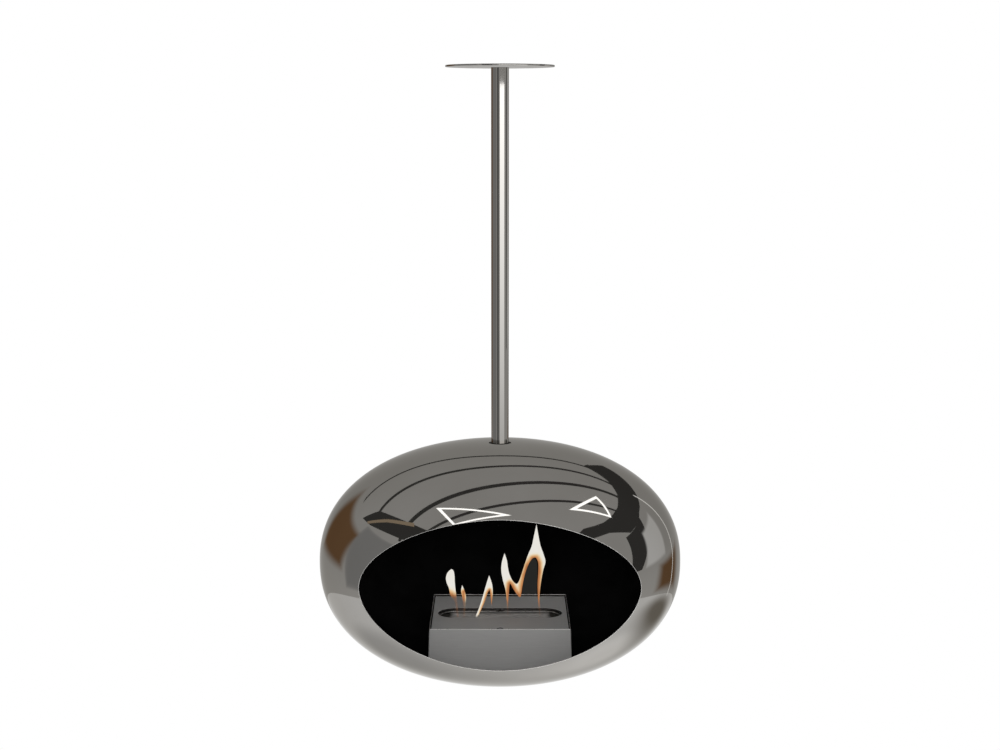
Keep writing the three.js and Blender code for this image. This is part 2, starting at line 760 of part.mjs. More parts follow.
const burner = groupAt(bowl, 0, 0, rimLevel);
piece('burner_casing', burnerCasing(), brushedSteel(), burner);
piece('casing_tray', casingTray(), sheetSteel(), burner);
floorStudPlaces.forEach((place, i) => piece(`floor_stud_${i + 1}`, floorStud(place), zincSteel(), burner));
pieces('tray_nut', trayNut(), floorStudPlaces, zincSteel(), burner);

// Lifts out of the casing
const insert = groupAt(burner, 0, 0, 0);
piece('burner_top_plate', topPlate(), brushedSteel(), insert);
piece('tank_deck', tankDeck(), sheetSteel(), insert);
piece('fuel_tank', fuelTank(), sheetSteel(), insert);
piece('ceramic_wool', ceramicWool(), whiteWool(), insert);
piece('slide_guide', slideGuide(), sheetSteel(), insert);
pieces('deck_stud', deckStud(), deckStudPlaces, zincSteel(), insert);
pieces('deck_nut', deckNut(), deckStudPlaces, zincSteel(), insert);

// Slides forward over the slot
const snuffer = groupAt(insert, 0, 0, 0);
piece('snuffer_slide', snufferSlide(), sheetSteel(), snuffer);

export default fireplace;
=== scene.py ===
# Looks of the hanging fireplace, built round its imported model.
# Metres, +Z up, front towards -Y. The origin is the middle of the ceiling plate's top face.
import json
from math import cos, pi, radians, sin, tan

import bpy
import numpy as np
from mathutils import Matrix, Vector
from mathutils.geometry import delaunay_2d_cdt


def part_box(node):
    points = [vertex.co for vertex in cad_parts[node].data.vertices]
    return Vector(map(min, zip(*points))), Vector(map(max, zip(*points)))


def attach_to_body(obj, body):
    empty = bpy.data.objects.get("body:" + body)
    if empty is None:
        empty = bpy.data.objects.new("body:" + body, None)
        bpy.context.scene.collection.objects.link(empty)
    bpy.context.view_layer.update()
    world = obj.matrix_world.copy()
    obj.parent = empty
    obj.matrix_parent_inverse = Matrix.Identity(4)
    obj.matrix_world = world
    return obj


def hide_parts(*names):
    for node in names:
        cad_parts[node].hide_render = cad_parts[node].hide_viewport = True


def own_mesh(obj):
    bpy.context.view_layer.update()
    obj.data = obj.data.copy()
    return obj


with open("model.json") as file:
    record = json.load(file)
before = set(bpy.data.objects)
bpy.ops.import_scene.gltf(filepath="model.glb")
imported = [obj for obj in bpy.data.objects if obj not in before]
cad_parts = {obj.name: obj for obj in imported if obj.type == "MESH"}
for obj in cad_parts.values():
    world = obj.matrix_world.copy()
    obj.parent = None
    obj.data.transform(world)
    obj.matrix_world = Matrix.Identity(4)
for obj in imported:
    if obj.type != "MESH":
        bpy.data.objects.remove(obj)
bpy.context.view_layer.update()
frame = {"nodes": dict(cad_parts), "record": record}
scene = bpy.context.scene
MM = 0.001
MICRON = 0.001 * MM

# ---------- Driving sizes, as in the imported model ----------

FIT = 0.3 * MM
SHELL_LOW, SHELL_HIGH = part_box("shell")
BOWL_RADIUS = SHELL_HIGH.x
BOWL_HALF_HEIGHT = 192.8 * MM
BOWL_MIDDLE = SHELL_LOW.z + BOWL_HALF_HEIGHT
BOWL_ROUNDNESS = 2.21
BOWL_WALL = 2 * MM
CROWN_HOLE_RADIUS = 18.25 * MM
MOUTH_HALF_WIDTH = 217 * MM
MOUTH_HALF_HEIGHT = 116.5 * MM
MOUTH_ROUNDNESS = 1.86
CASING_TAPER = tan(radians(1.75))
CASING_WALL = 1.5 * MM
SLOT_END_MARGIN = 11 * MM
SLOT_WIDTH = 61 * MM

# ---------- Camera: the photograph's place and angle ----------

CAMERA_PLACE = (0, -2.9785, -0.0901)
CAMERA_DIP = 7.76  # degrees below the horizon
CAMERA_LENS = 66.72  # mm
SENSOR_WIDTH = 36  # mm


def add_object(name, data):
    thing = bpy.data.objects.new(name, data)
    scene.collection.objects.link(thing)
    return thing


def make_camera():
    data = bpy.data.cameras.new("camera")
    data.sensor_width = SENSOR_WIDTH
    data.lens = CAMERA_LENS
    camera = add_object("camera", data)
    camera.location = CAMERA_PLACE
    camera.rotation_euler = (radians(90 - CAMERA_DIP), 0, 0)
    scene.camera = camera


make_camera()

# ---------- Materials ----------


class Graph:
    """A node tree whose nodes are added and linked in short lines."""

    def __init__(self, owner):
        owner.use_nodes = True
        self.tree = owner.node_tree

    def add(self, kind, **settings):
        """A new node. A setting with a leading underscore is the node's own, any other is an input's."""
        node = self.tree.nodes.new(kind)
        for key, value in settings.items():
            if key.startswith("_"):
                setattr(node, key[1:], value)
            else:
                node.inputs[key.replace("_", " ")].default_value = value
        return node

    def link(self, source, target):
        self.tree.links.new(source, target)

    def attribute(self, name):
        """A value that the mesh's own points hold."""
        return self.add("ShaderNodeAttribute", _attribute_name=name).outputs["Fac"]

    def math(self, operation, *sources):
        node = self.add("ShaderNodeMath", _operation=operation)
        for source, target in zip(sources, node.inputs):
            self.link(source, target)
        return node.outputs[0]

    def rays(self, *kinds):
        """1 for rays of any of these kinds, 0 for all others."""
        path = self.add("ShaderNodeLightPath")
        seen = path.outputs[kinds[0]]
        for kind in kinds[1:]:
            seen = self.math("MAXIMUM", seen, path.outputs[kind])
        return seen

    def spread(self, source, low, high, start=0.3, end=0.7, curve="LINEAR"):
        """Maps values from start to end, by default the middle of a noise, to values from low to high."""
        node = self.add(
            "ShaderNodeMapRange", _interpolation_type=curve,
            From_Min=start, From_Max=end, To_Min=low, To_Max=high,
        )
        self.link(source, node.inputs["Value"])
        return node.outputs["Result"]

    def blend(self, factor, first, second):
        """A surface that moves from one shader to another with factor."""
        node = self.add("ShaderNodeMixShader")
        self.link(factor, node.inputs["Fac"])
        self.link(first.outputs[0], node.inputs[1])
        self.link(second.outputs[0], node.inputs[2])
        return node.outputs[0]


class Paint(Graph):
    """One procedural material on a principled shader, whose constants are given by name."""

    FACTOR, FIRST_COLOUR, SECOND_COLOUR, MIXED_COLOUR = 0, 6, 7, 2  # the mix node's sockets for colours

    def __init__(self, name, **constants):
        self.material = bpy.data.materials.new(name)
        super().__init__(self.material)
        self.shader = self.tree.nodes["Principled BSDF"]
        self.place = self.add("ShaderNodeTexCoord").outputs["Object"]
        for key, value in constants.items():
            self.shader.inputs[key.replace("_", " ")].default_value = value

    def noise(self, size, stretch=(1, 1, 1), detail=3.0, roughness=0.55):
        """Noise whose features are about size metres across, stretched along each axis."""
        scale = self.add("ShaderNodeMapping", Scale=tuple(1 / (size * s) for s in stretch))
        self.link(self.place, scale.inputs["Vector"])
        noise = self.add("ShaderNodeTexNoise", Scale=1.0, Detail=detail, Roughness=roughness)
        self.link(scale.outputs["Vector"], noise.inputs["Vector"])
        return noise.outputs["Fac"]

    def tint(self, factor, first, second):
        """A base colour that moves between two colours with factor."""
        mix = self.add("ShaderNodeMix", _data_type="RGBA")
        mix.inputs[self.FIRST_COLOUR].default_value = (*first, 1)
        mix.inputs[self.SECOND_COLOUR].default_value = (*second, 1)
        self.link(factor, mix.inputs[self.FACTOR])
        self.link(mix.outputs[self.MIXED_COLOUR], self.shader.inputs["Base Color"])

    def rough(self, wear, low, high):
        self.link(self.spread(wear, low, high), self.shader.inputs["Roughness"])

    def relief(self, *layers):
        """Each layer is (noise, depth in metres); they add up."""
        target = self.shader.inputs["Normal"]
        for noise, depth in reversed(layers):
            bump = self.add("ShaderNodeBump", Strength=1.0, Distance=depth)
            self.link(noise, bump.inputs["Height"])
            self.link(bump.outputs["Normal"], target)
            target = bump.inputs["Normal"]

    def coat(self, cloud, colours, wear, roughness, *layers):
        """A noise moves the colour between two colours, another the roughness between two values."""
        self.tint(self.spread(cloud, 0, 1), *colours)
        self.rough(wear, *roughness)
        self.relief(*layers)
        return self.material


def polished_steel(name, wipe=(1, 1, 1)):
    """Mirror-polished stainless steel, with faint haze from wiping and the finest polishing lines."""
    paint = Paint(name, Metallic=1.0, Specular_Tint=(0.68, 0.67, 0.65, 1))
    haze = paint.noise(0.11, stretch=wipe, detail=5)
    smudge = paint.noise(0.035, stretch=wipe, detail=6, roughness=0.7)
    lines = paint.noise(0.0012, stretch=(1, 1, 14), detail=2)
    colours = (0.345, 0.335, 0.318), (0.375, 0.366, 0.35)
    return paint.coat(haze, colours, smudge, (0.02, 0.05), (lines, 0.4 * MICRON))


def brushed_steel(name, tone, metal):
    """Satin stainless sheet with a fine brushed grain along X."""
    paint = Paint(name, Metallic=metal, Specular_IOR_Level=0.3)
    grain = paint.noise(0.00045, stretch=(60, 1, 1), detail=3, roughness=0.6)
    cloud = paint.noise(0.06, detail=4)
    colours = [(level, 0.988 * level, 0.97 * level) for level in (0.92 * tone, 1.08 * tone)]
    return paint.coat(grain, colours, cloud, (0.5, 0.58), (grain, 12 * MICRON))


def highlight_edge_steel(name):
    """The bare edge of a cut and rounded sheet, painted brighter than its faces as the highlight along it."""
    paint = Paint(name, Metallic=0.8)
    marks = paint.noise(0.002, detail=3)
    colours = (0.70, 0.69, 0.67), (0.80, 0.79, 0.77)
    return paint.coat(marks, colours, marks, (0.25, 0.35), (marks, 5 * MICRON))


def painted_shade_steel(name):
    """Painted shade: dark steel for cut edges beside the flames and for the casing's inner walls, standing in
    for the shade in those gaps.
    """
    paint = Paint(name, Metallic=0.6, Specular_IOR_Level=0.2)
    shade_noise = paint.noise(0.004, detail=5)
    colours = (0.012, 0.011, 0.010), (0.035, 0.031, 0.028)
    return paint.coat(shade_noise, colours, shade_noise, (0.6, 0.75), (shade_noise, 30 * MICRON))


def sheet_steel(name):
    """Plain rolled steel sheet: dull, slightly cloudy, with faint rolling lines."""
    paint = Paint(name, Metallic=1.0)
    rolling = paint.noise(0.0006, stretch=(1, 30, 1), detail=2)
    cloud = paint.noise(0.03, detail=5)
    colours = (0.33, 0.33, 0.34), (0.42, 0.42, 0.425)
    return paint.coat(cloud, colours, cloud, (0.4, 0.52), (rolling, 8 * MICRON))


def zinc_steel(name):
    """Bright zinc plating with a soft spangle."""
    paint = Paint(name, Metallic=1.0)
    spangle = paint.noise(0.0022, detail=4)
    fine = paint.noise(0.0004, detail=2)
    colours = (0.50, 0.50, 0.48), (0.64, 0.64, 0.61)
    return paint.coat(spangle, colours, spangle, (0.3, 0.46), (fine, 10 * MICRON))


def bearing_steel(name):
    """Ground and hardened steel with fine grinding marks and a trace of oil."""
    paint = Paint(name, Metallic=1.0)
    marks = paint.noise(0.0005, stretch=(1, 1, 12), detail=2)
    oil = paint.noise(0.004, detail=3)
    colours = (0.52, 0.51, 0.49), (0.60, 0.60, 0.60)
    return paint.coat(oil, colours, oil, (0.1, 0.2), (marks, 3 * MICRON))


def cage_brass(name):
    """Machined brass, slightly browned."""
    paint = Paint(name, Metallic=1.0)
    patina = paint.noise(0.003, detail=4)
    marks = paint.noise(0.0004, stretch=(1, 1, 10), detail=2)
    colours = (0.55, 0.38, 0.16), (0.72, 0.53, 0.25)
    return paint.coat(patina, colours, patina, (0.25, 0.4), (marks, 6 * MICRON))


def matt_black(name, deep=0.0016, light=0.0045):
    """Heat-proof black paint: dead matt with a fine sprayed grain."""
    paint = Paint(name, Metallic=0.0, Specular_IOR_Level=0.08)
    grain = paint.noise(0.0009, detail=3)
    cloud = paint.noise(0.05, detail=4)
    return paint.coat(cloud, ([deep] * 3, [light] * 3), grain, (0.8, 0.95), (grain, 20 * MICRON))


def black_oxide(name):
    """Blackened steel of small screws."""
    paint = Paint(name, Metallic=1.0)
    grain = paint.noise(0.0006, detail=3)
    colours = (0.03, 0.03, 0.032), (0.06, 0.06, 0.062)
    return paint.coat(grain, colours, grain, (0.4, 0.55), (grain, 10 * MICRON))


def black_rubber(name):
    """Moulded black silicone rubber with a fine matt skin and a little dust."""
    paint = Paint(name, Metallic=0.0, Specular_IOR_Level=0.3)
    grain = paint.noise(0.0003, detail=2)
    dust = paint.noise(0.004, detail=5)
    colours = (0.010, 0.010, 0.010), (0.022, 0.022, 0.021)
    return paint.coat(dust, colours, dust, (0.6, 0.8), (grain, 20 * MICRON))


SHADE_GAIN = 1.5  # how quickly the painted shade covers the wool towards the slot's ends
SHADE_PATCHES = 0.3  # how much that cover varies from patch to patch


def wick_wool(name):
    """Pressed ceramic wool: fibrous and slightly greyed by use, with painted shade darkening it towards the
    slot's ends.
    """
    paint = Paint(name, Metallic=0.0, Specular_IOR_Level=0.1)
    fibres = [paint.noise(0.0005, stretch=way, detail=3, roughness=0.7) for way in ((9, 1, 1), (1, 9, 1))]
    shade_noise = paint.noise(0.012, detail=5)
    # Painted shade: the cover darkens the wool towards the slot's ends, in patches.
    cover = paint.add("ShaderNodeMath", _operation="MULTIPLY_ADD", _use_clamp=True)
    paint.link(paint.attribute("end_shade"), cover.inputs[0])
    cover.inputs[1].default_value = SHADE_GAIN
    paint.link(paint.spread(shade_noise, -SHADE_PATCHES, SHADE_PATCHES), cover.inputs[2])
    paint.tint(cover.outputs[0], (0.36, 0.352, 0.34), (0.03, 0.028, 0.025))
    paint.rough(shade_noise, 0.9, 1.0)
    paint.relief(*((fibre, 400 * MICRON) for fibre in fibres))
    return paint.material


FLAME_COLOURS = [  # along the piece's own heat, from its warm edge to its bright core
    (0.0, (0.42, 0.16, 0.06)),
    (0.14, (0.60, 0.28, 0.11)),
    (0.4, (0.76, 0.55, 0.31)),
    (0.7, (0.81, 0.75, 0.63)),
    (1.0, (0.81, 0.785, 0.725)),
]
FLAME_RIPPLE = 0.08  # how much a soft wave adds to the heat or takes from it


def flame_light(name):
    """Glowing gas: its colour follows the mesh's own heat, and it thins out where glow is low."""
    paint = Paint(name, Base_Color=(0, 0, 0, 1), Emission_Strength=1.0, Specular_IOR_Level=0.0, Roughness=1.0)
    wave = paint.spread(paint.noise(0.008, stretch=(1, 1, 4), detail=2), -FLAME_RIPPLE, FLAME_RIPPLE)
    ramp = paint.add("ShaderNodeValToRGB")
    stops = ramp.color_ramp.elements
    stops[0].color = (*FLAME_COLOURS[0][1], 1)
    stops[-1].color = (*FLAME_COLOURS[-1][1], 1)
    for place, colour in FLAME_COLOURS[1:-1]:
        stops.new(place).color = (*colour, 1)
    paint.link(paint.math("ADD", paint.attribute("flame_heat"), wave), ramp.inputs["Fac"])
    paint.link(ramp.outputs["Color"], paint.shader.inputs["Emission Color"])
    paint.link(paint.attribute("flame_glow"), paint.shader.inputs["Alpha"])
    return paint.material


FINISHES = {
    "polished_steel": polished_steel("polished_steel"),
    "brushed_steel": brushed_steel("brushed_steel", 0.34, 0.35),
    "sheet_steel": sheet_steel("sheet_steel"),
    "zinc_steel": zinc_steel("zinc_steel"),
    "bearing_steel": bearing_steel("bearing_steel"),
    "cage_brass": cage_brass("cage_brass"),
    "black_steel": matt_black("black_steel", 0.003, 0.008),
    "black_screw": black_oxide("black_screw"),
    "black_rubber": black_rubber("black_rubber"),
    "wick_wool": wick_wool("wick_wool"),
}
CHAMBER_BLACK = matt_black("chamber_black")
DRAWN_STEEL = polished_steel("drawn_steel", wipe=(1, 1, 6))
# A lighter, less metallic copy of the burner steel for the top plate: painted light that lifts it out of the
# bowl's shade.
LIFTED_PLATE_STEEL = brushed_steel("lifted_plate_steel", 0.38, 0.15)
# Bright steel that paints the highlight along rounded and cut edges.
HIGHLIGHT_EDGE_STEEL = highlight_edge_steel("highlight_edge_steel")
# Dark steel that paints shade on the plates' cut edges and the casing's inner walls.
PAINTED_SHADE_STEEL = painted_shade_steel("painted_shade_steel")
FLAME_LIGHT = flame_light("flame_light")

# ---------- Mesh helpers ----------


class Skin:
    """Collects loops of points and the faces between them."""

    def __init__(self):
        self.points = []
        self.faces = []
        self.finishes = []

    def loop(self, points):
        """Adds points and returns their numbers."""
        start = len(self.points)
        self.points.extend(tuple(map(float, p)) for p in points)
        return list(range(start, len(self.points)))

    def face(self, corners, finish=0):
        self.faces.append(tuple(corners))
        self.finishes.append(finish)

    def bands(self, loops, finish=0, closed=True):
        """Four-cornered faces from each loop to the next.

        They face outwards where the loops run counter-clockwise and each is higher than the last.
        """
        for first, second in zip(loops, loops[1:]):
            count = len(first)
            for i in range(count if closed else count - 1):
                j = (i + 1) % count
                self.face((first[i], first[j], second[j], second[i]), finish)

    def fan(self, loop, tip, finish=0):
        """Three-cornered faces from a loop to one point."""
        for i, corner in enumerate(loop):
            self.face((corner, loop[(i + 1) % len(loop)], tip), finish)

    def build(self, name, *materials):
        mesh = bpy.data.meshes.new(name)
        mesh.from_pydata(self.points, [], self.faces)
        for material in materials:
            mesh.materials.append(material)
        mesh.polygons.foreach_set("material_index", self.finishes)
        mesh.polygons.foreach_set("use_smooth", [True] * len(self.faces))
        mesh.update()
        return add_object(name, mesh)


def mark(thing, attribute, values):
    """Gives each point of a mesh a value for its material to read."""
    data = thing.data.attributes.new(attribute, "FLOAT", "POINT").data
    data.foreach_set("value", np.asarray(values, np.float32))


def modify(thing, kind, **settings):
    modifier = thing.modifiers.new(kind.lower(), kind)
    for key, value in settings.items():
        setattr(modifier, key, value)


def even_normals(thing):
    """Lets the larger faces set the shading, so that flats stay flat beside small rounded edges."""
    modify(thing, "WEIGHTED_NORMAL", mode="FACE_AREA", weight=80)


def settle(thing):
    """Bakes a thing's modifiers into its mesh."""
    graph = bpy.context.evaluated_depsgraph_get()
    mesh = bpy.data.meshes.new_from_object(thing.evaluated_get(graph))
    thing.modifiers.clear()
    old = thing.data
    thing.data = mesh
    bpy.data.meshes.remove(old)


def combine(thing, operation, others):
    """Takes other things out of a thing or joins them to it, one after another."""
    for other in others:
        modify(thing, "BOOLEAN", operation=operation, solver="EXACT", object=other)
        settle(thing)
        bpy.data.objects.remove(other)


def attach(thing, body, slot, *nodes):
    """A finished piece rides its body and stands for CAD nodes, which are hidden. The slot is not used."""
    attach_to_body(thing, body)
    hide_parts(*nodes)


def fillet(corners, radii, steps=5):
    """Rounds the corners of a flat outline with arcs; a radius of 0 keeps a corner sharp."""
    rounded = []
    for i, (corner, radius) in enumerate(zip(corners, radii)):
        here = Vector(corner)
        if radius == 0:
            rounded.append(tuple(here))
            continue
        before = (Vector(corners[i - 1]) - here).normalized()
        after = (Vector(corners[(i + 1) % len(corners)]) - here).normalized()
        half = before.angle(after) / 2
        reach = radius / tan(half)
        middle = here + (before + after).normalized() * (radius / sin(half))
        start = here + before * reach - middle
        end = here + after * reach - middle
        swing = start.angle(end)
        for step in range(steps + 1):
            share = step / steps
            a = sin((1 - share) * swing) / sin(swing)
            b = sin(share * swing) / sin(swing)
            rounded.append(tuple(middle + start * a + end * b))
    return rounded


def turned(name, profile, segments, material):
    """A closed [radius, height] outline turned about the Z axis; points on the axis make lids."""
    skin = Skin()
    angles = [2 * pi * i / segments for i in range(segments)]
    loops = []
    for r, z in profile:
        loops.append(skin.loop([(r * cos(a), r * sin(a), z) for a in angles] if r else [(0, 0, z)]))
    for first, second in zip(loops, [*loops[1:], loops[0]]):
        if len(first) == len(second) == segments:
            skin.bands([first, second])
        elif len(first) == segments:
            skin.fan(first, second[0])
        elif len(second) == segments:
            skin.fan(second[::-1], first[0])
    return skin.build(name, material)


def rounded_rectangle(half_x, half_y, radius, steps=6):
    """Counter-clockwise outline about the origin."""
    corners = [(-half_x, -half_y), (half_x, -half_y), (half_x, half_y), (-half_x, half_y)]
    return fillet(corners, [radius] * 4, steps)


def slot_outline(length, width, centre_y, steps=28):
    """A slot with round ends, long in X."""
    radius = width / 2
    straight = length / 2 - radius
    points = []
    for side, start in ((1, -pi / 2), (-1, pi / 2)):
        for step in range(steps + 1):
            angle = start + pi * step / steps
            points.append((side * straight + radius * cos(angle), centre_y + radius * sin(angle)))
    return points


def circle(radius, x, y, steps=24):
    angles = [2 * pi * i / steps for i in range(steps)]
    return [(x + radius * cos(a), y + radius * sin(a)) for a in angles]


def plate(name, outlines, low, high, edge, face_material, edge_material):
    """A flat sheet with holes and softly rounded edges, whose cut edges have their own finish.

    The first outline is its rim; low and high are the corners of its box.
    """
    curve = bpy.data.curves.new(name, "CURVE")
    curve.dimensions = "2D"
    curve.fill_mode = "BOTH"
    for outline in outlines:
        spline = curve.splines.new("POLY")
        spline.points.add(len(outline) - 1)
        for point, (x, y) in zip(spline.points, outline):
            point.co = (x, y, 0, 1)
        spline.use_cyclic_u = True
    curve.bevel_depth = edge
    curve.bevel_resolution = 2
    curve.offset = -edge
    curve.extrude = (high.z - low.z) / 2 - edge
    draft = add_object(name + "_draft", curve)
    graph = bpy.context.evaluated_depsgraph_get()
    mesh = bpy.data.meshes.new_from_object(draft.evaluated_get(graph))
    bpy.data.objects.remove(draft)
    for vertex in mesh.vertices:
        vertex.co.z += (high.z + low.z) / 2
    mesh.name = name
    mesh.materials.clear()
    mesh.materials.append(face_material)
    mesh.materials.append(edge_material)
    thing = add_object(name, mesh)
    modify(thing, "WELD", merge_threshold=edge / 50)
    settle(thing)
    for face in thing.data.polygons:
        face.use_smooth = True
        face.material_index = int(abs(face.normal.z) < 0.5)
    even_normals(thing)
    return thing


def eased(values, low, high):
    """0 up to low, 1 from high on, and a soft step between them."""
    share = np.clip((values - low) / (high - low), 0, 1)
    return share * share * (3 - 2 * share)


def unit(vectors):
    """The same directions with a length of 1."""
    return vectors / np.linalg.norm(vectors, axis=-1, keepdims=True)


# A rounded edge of radius 1: how far each of its points is from the side and from the end.
QUARTER_ROUND = [(1 - sin(pi / 12 * k), 1 - cos(pi / 12 * k)) for k in range(7)]

# ---------- The bowl's curve ----------

FLOOR_SAMPLES = 2001  # points along the curve from the side to the bottom


def bowl_scale(ways):
    """How far the bowl's outside is from its middle along unit directions."""
    across = np.hypot(ways[..., 0], ways[..., 1]) / BOWL_RADIUS
    up = np.abs(ways[..., 2]) / BOWL_HALF_HEIGHT
    return (across**BOWL_ROUNDNESS + up**BOWL_ROUNDNESS) ** (-1 / BOWL_ROUNDNESS)


def bowl_normal(points):
    """Outward normals of the bowl's outside at points about its middle."""
    radius = np.maximum(np.hypot(points[..., 0], points[..., 1]), 1e-9)
    power = BOWL_ROUNDNESS - 1
    slope = (radius / BOWL_RADIUS) ** power / BOWL_RADIUS
    rise = np.sign(points[..., 2]) * (np.abs(points[..., 2]) / BOWL_HALF_HEIGHT) ** power / BOWL_HALF_HEIGHT
    return unit(np.stack([slope * points[..., 0] / radius, slope * points[..., 1] / radius, rise], -1))


def bowl_point(turn, reach, inset):
    """Point about the bowl's middle: turn goes round the mouth's axis, reach from the front to the back."""
    ways = np.stack(
        [-np.sin(reach) * np.cos(turn), -np.cos(reach) + 0 * turn, np.sin(reach) * np.sin(turn)], -1
    )
    points = ways * bowl_scale(ways)[..., None]
    return points - inset * bowl_normal(points)


def bowl_floor(radius, inset):
    """Height of the bowl's lower half at a radius, moved inwards by inset."""
    angle = np.linspace(0, pi / 2, FLOOR_SAMPLES)
    power = 2 / BOWL_ROUNDNESS
    outside = np.stack(
        [BOWL_RADIUS * np.cos(angle) ** power, 0 * angle, -BOWL_HALF_HEIGHT * np.sin(angle) ** power], -1
    )
    moved = outside - inset * bowl_normal(outside)
    order = np.argsort(moved[:, 0])
    return BOWL_MIDDLE + np.interp(radius, moved[order, 0], moved[order, 2])


# ---------- Shell ----------

MOUTH_COLUMNS = 336  # round the mouth, a multiple of 4
SHELL_ROWS = 120  # from the mouth to the back
EDGE_ROUND = 1.3 * MM  # how far the rounded edge runs along each face of the sheet
EDGE_STEPS = 8
CROWN_REACH = 30 * MM  # half the patch of rows that is opened for the pole
CROWN_RINGS = 5
HOLE_EASE = 0.35 * MM
HALVINGS = 50  # until the mouth is found on the bowl's curve


def mouth_turns():
    """Angles round the mouth's axis, spaced evenly along its outline."""
    angle = 2 * pi * np.arange(MOUTH_COLUMNS) / MOUTH_COLUMNS
    power = 2 / MOUTH_ROUNDNESS
    x = MOUTH_HALF_WIDTH * np.sign(np.cos(angle)) * np.abs(np.cos(angle)) ** power
    z = MOUTH_HALF_HEIGHT * np.sign(np.sin(angle)) * np.abs(np.sin(angle)) ** power
    return np.arctan2(z, x)


def mouth_reach(turn, inset):
    """Where each column of a surface meets the mouth, by halving."""
    low, high = np.zeros_like(turn), np.full_like(turn, pi / 2)
    for _ in range(HALVINGS):
        middle = (low + high) / 2
        point = bowl_point(turn, middle, inset)
        across = np.abs(point[..., 0]) / MOUTH_HALF_WIDTH
        up = np.abs(point[..., 2]) / MOUTH_HALF_HEIGHT
        inside = across**MOUTH_ROUNDNESS + up**MOUTH_ROUNDNESS < 1
        low, high = np.where(inside, middle, low), np.where(inside, high, middle)
    return (low + high) / 2


def shell_rows(turn, inset):
    """The mouth's corner points and rows of points from just behind it to the back."""
    corner_reach = mouth_reach(turn, inset)
    corner = bowl_point(turn, corner_reach, inset)
    first = corner_reach + EDGE_ROUND / np.linalg.norm(corner, axis=-1)
    share = np.arange(SHELL_ROWS)[:, None] / SHELL_ROWS
    reach = first + (pi - first) * share
    return corner, bowl_point(np.broadcast_to(turn, reach.shape), reach, inset)


def edge_rows(start, corner_out, corner_in, end):
    """A rounded edge from the outside to the inside, between the sheet's two corners."""
    rows = []
    for step in range(1, EDGE_STEPS):
        t = step / EDGE_STEPS
        weights = ((1 - t) ** 3, 3 * t * (1 - t) ** 2, 3 * t**2 * (1 - t), t**3)
        rows.append(sum(w * p for w, p in zip(weights, (start, corner_out, corner_in, end))))
    return rows


def grid_normals(rows):
    """Normals of a closed grid of rows by differences, pointing out of the sheet."""
    grid = np.array(rows)
    along = np.roll(grid, -1, 1) - np.roll(grid, 1, 1)
    across = np.gradient(grid, axis=0)
    return unit(np.cross(across, along))


def crown_block(rows):
    """Rows and columns of the patch round the crown that is left out for the pole."""
    top = MOUTH_COLUMNS // 4
    near = [i for i in range(SHELL_ROWS) if abs(rows[i][top][1]) < CROWN_REACH]
    step = np.linalg.norm(rows[near[0]][top + 1] - rows[near[0]][top])
    half = int(np.ceil(CROWN_REACH / step))
    return near[0], near[-1], top - half, top + half


def block_border(low_row, high_row, low_column, high_column):
    """Grid places round the patch, in one closed way round."""
    border = [(low_row, c) for c in range(low_column, high_column)]
    border += [(r, high_column) for r in range(low_row, high_row)]
    border += [(high_row, c) for c in range(high_column, low_column, -1)]
    border += [(r, low_column) for r in range(high_row, low_row, -1)]
    return border


def crown_ring(border, share, inset):
    """A ring between the patch's border and the crown hole, on the bowl's curve."""
    hole = unit(border[:, :2]) * (CROWN_HOLE_RADIUS + HOLE_EASE)
    ring = border[:, :2] + share * (hole - border[:, :2])
    radius = np.linalg.norm(ring, axis=-1, keepdims=True)
    height = BOWL_HALF_HEIGHT * (1 - (radius / BOWL_RADIUS) ** BOWL_ROUNDNESS) ** (1 / BOWL_ROUNDNESS)
    points = np.concatenate([ring, height], -1)
    return points - inset * bowl_normal(points)


class ShellSkin(Skin):
    """The bowl's skin. It keeps every point's normal; a side is 1 for the outside and -1 for the inside."""

    def __init__(self):
        super().__init__()
        self.normals = []

    def add(self, points, normals):
        self.normals.extend(map(tuple, normals))
        return self.loop(np.asarray(points) + (0, 0, BOWL_MIDDLE))

    def add_row(self, points, side):
        return self.add(points, side * bowl_normal(np.asarray(points)))

    def add_side(self, rows, side, block):
        """One side of the sheet, closed at the back. Returns its loops and those at the crown hole."""
        inset, finish = (0, 0) if side > 0 else (BOWL_WALL, 1)
        low_row, high_row, low_column, high_column = block
        loops = [self.add_row(row, side) for row in rows]
        for r, (first, second) in enumerate(zip(loops, loops[1:])):
            for c in range(MOUTH_COLUMNS):
                if low_row <= r < high_row and low_column <= c < high_column:
                    continue
                d = (c + 1) % MOUTH_COLUMNS
                self.face((first[c], first[d], second[d], second[c])[::side], finish)
        back = bowl_point(np.array([0.0]), np.array([pi]), inset)
        self.fan(loops[-1][::side], self.add_row(back, side)[0], finish)
        border = block_border(*block)
        border_points = np.array([rows[r][c] for r, c in border])
        rings = [[loops[r][c] for r, c in border]]
        for k in range(1, CROWN_RINGS + 1):
            ring = crown_ring(border_points, k / CROWN_RINGS, inset)
            rings.append(self.add_row(ring, side))
        self.bands(rings[::side], finish)
        outward = unit(ring * (1, 1, 0))
        wall = outward * CROWN_HOLE_RADIUS + (ring - (0, 0, side * HOLE_EASE)) * (0, 0, 1)
        return loops, [rings[-1], self.add(wall, -outward)]


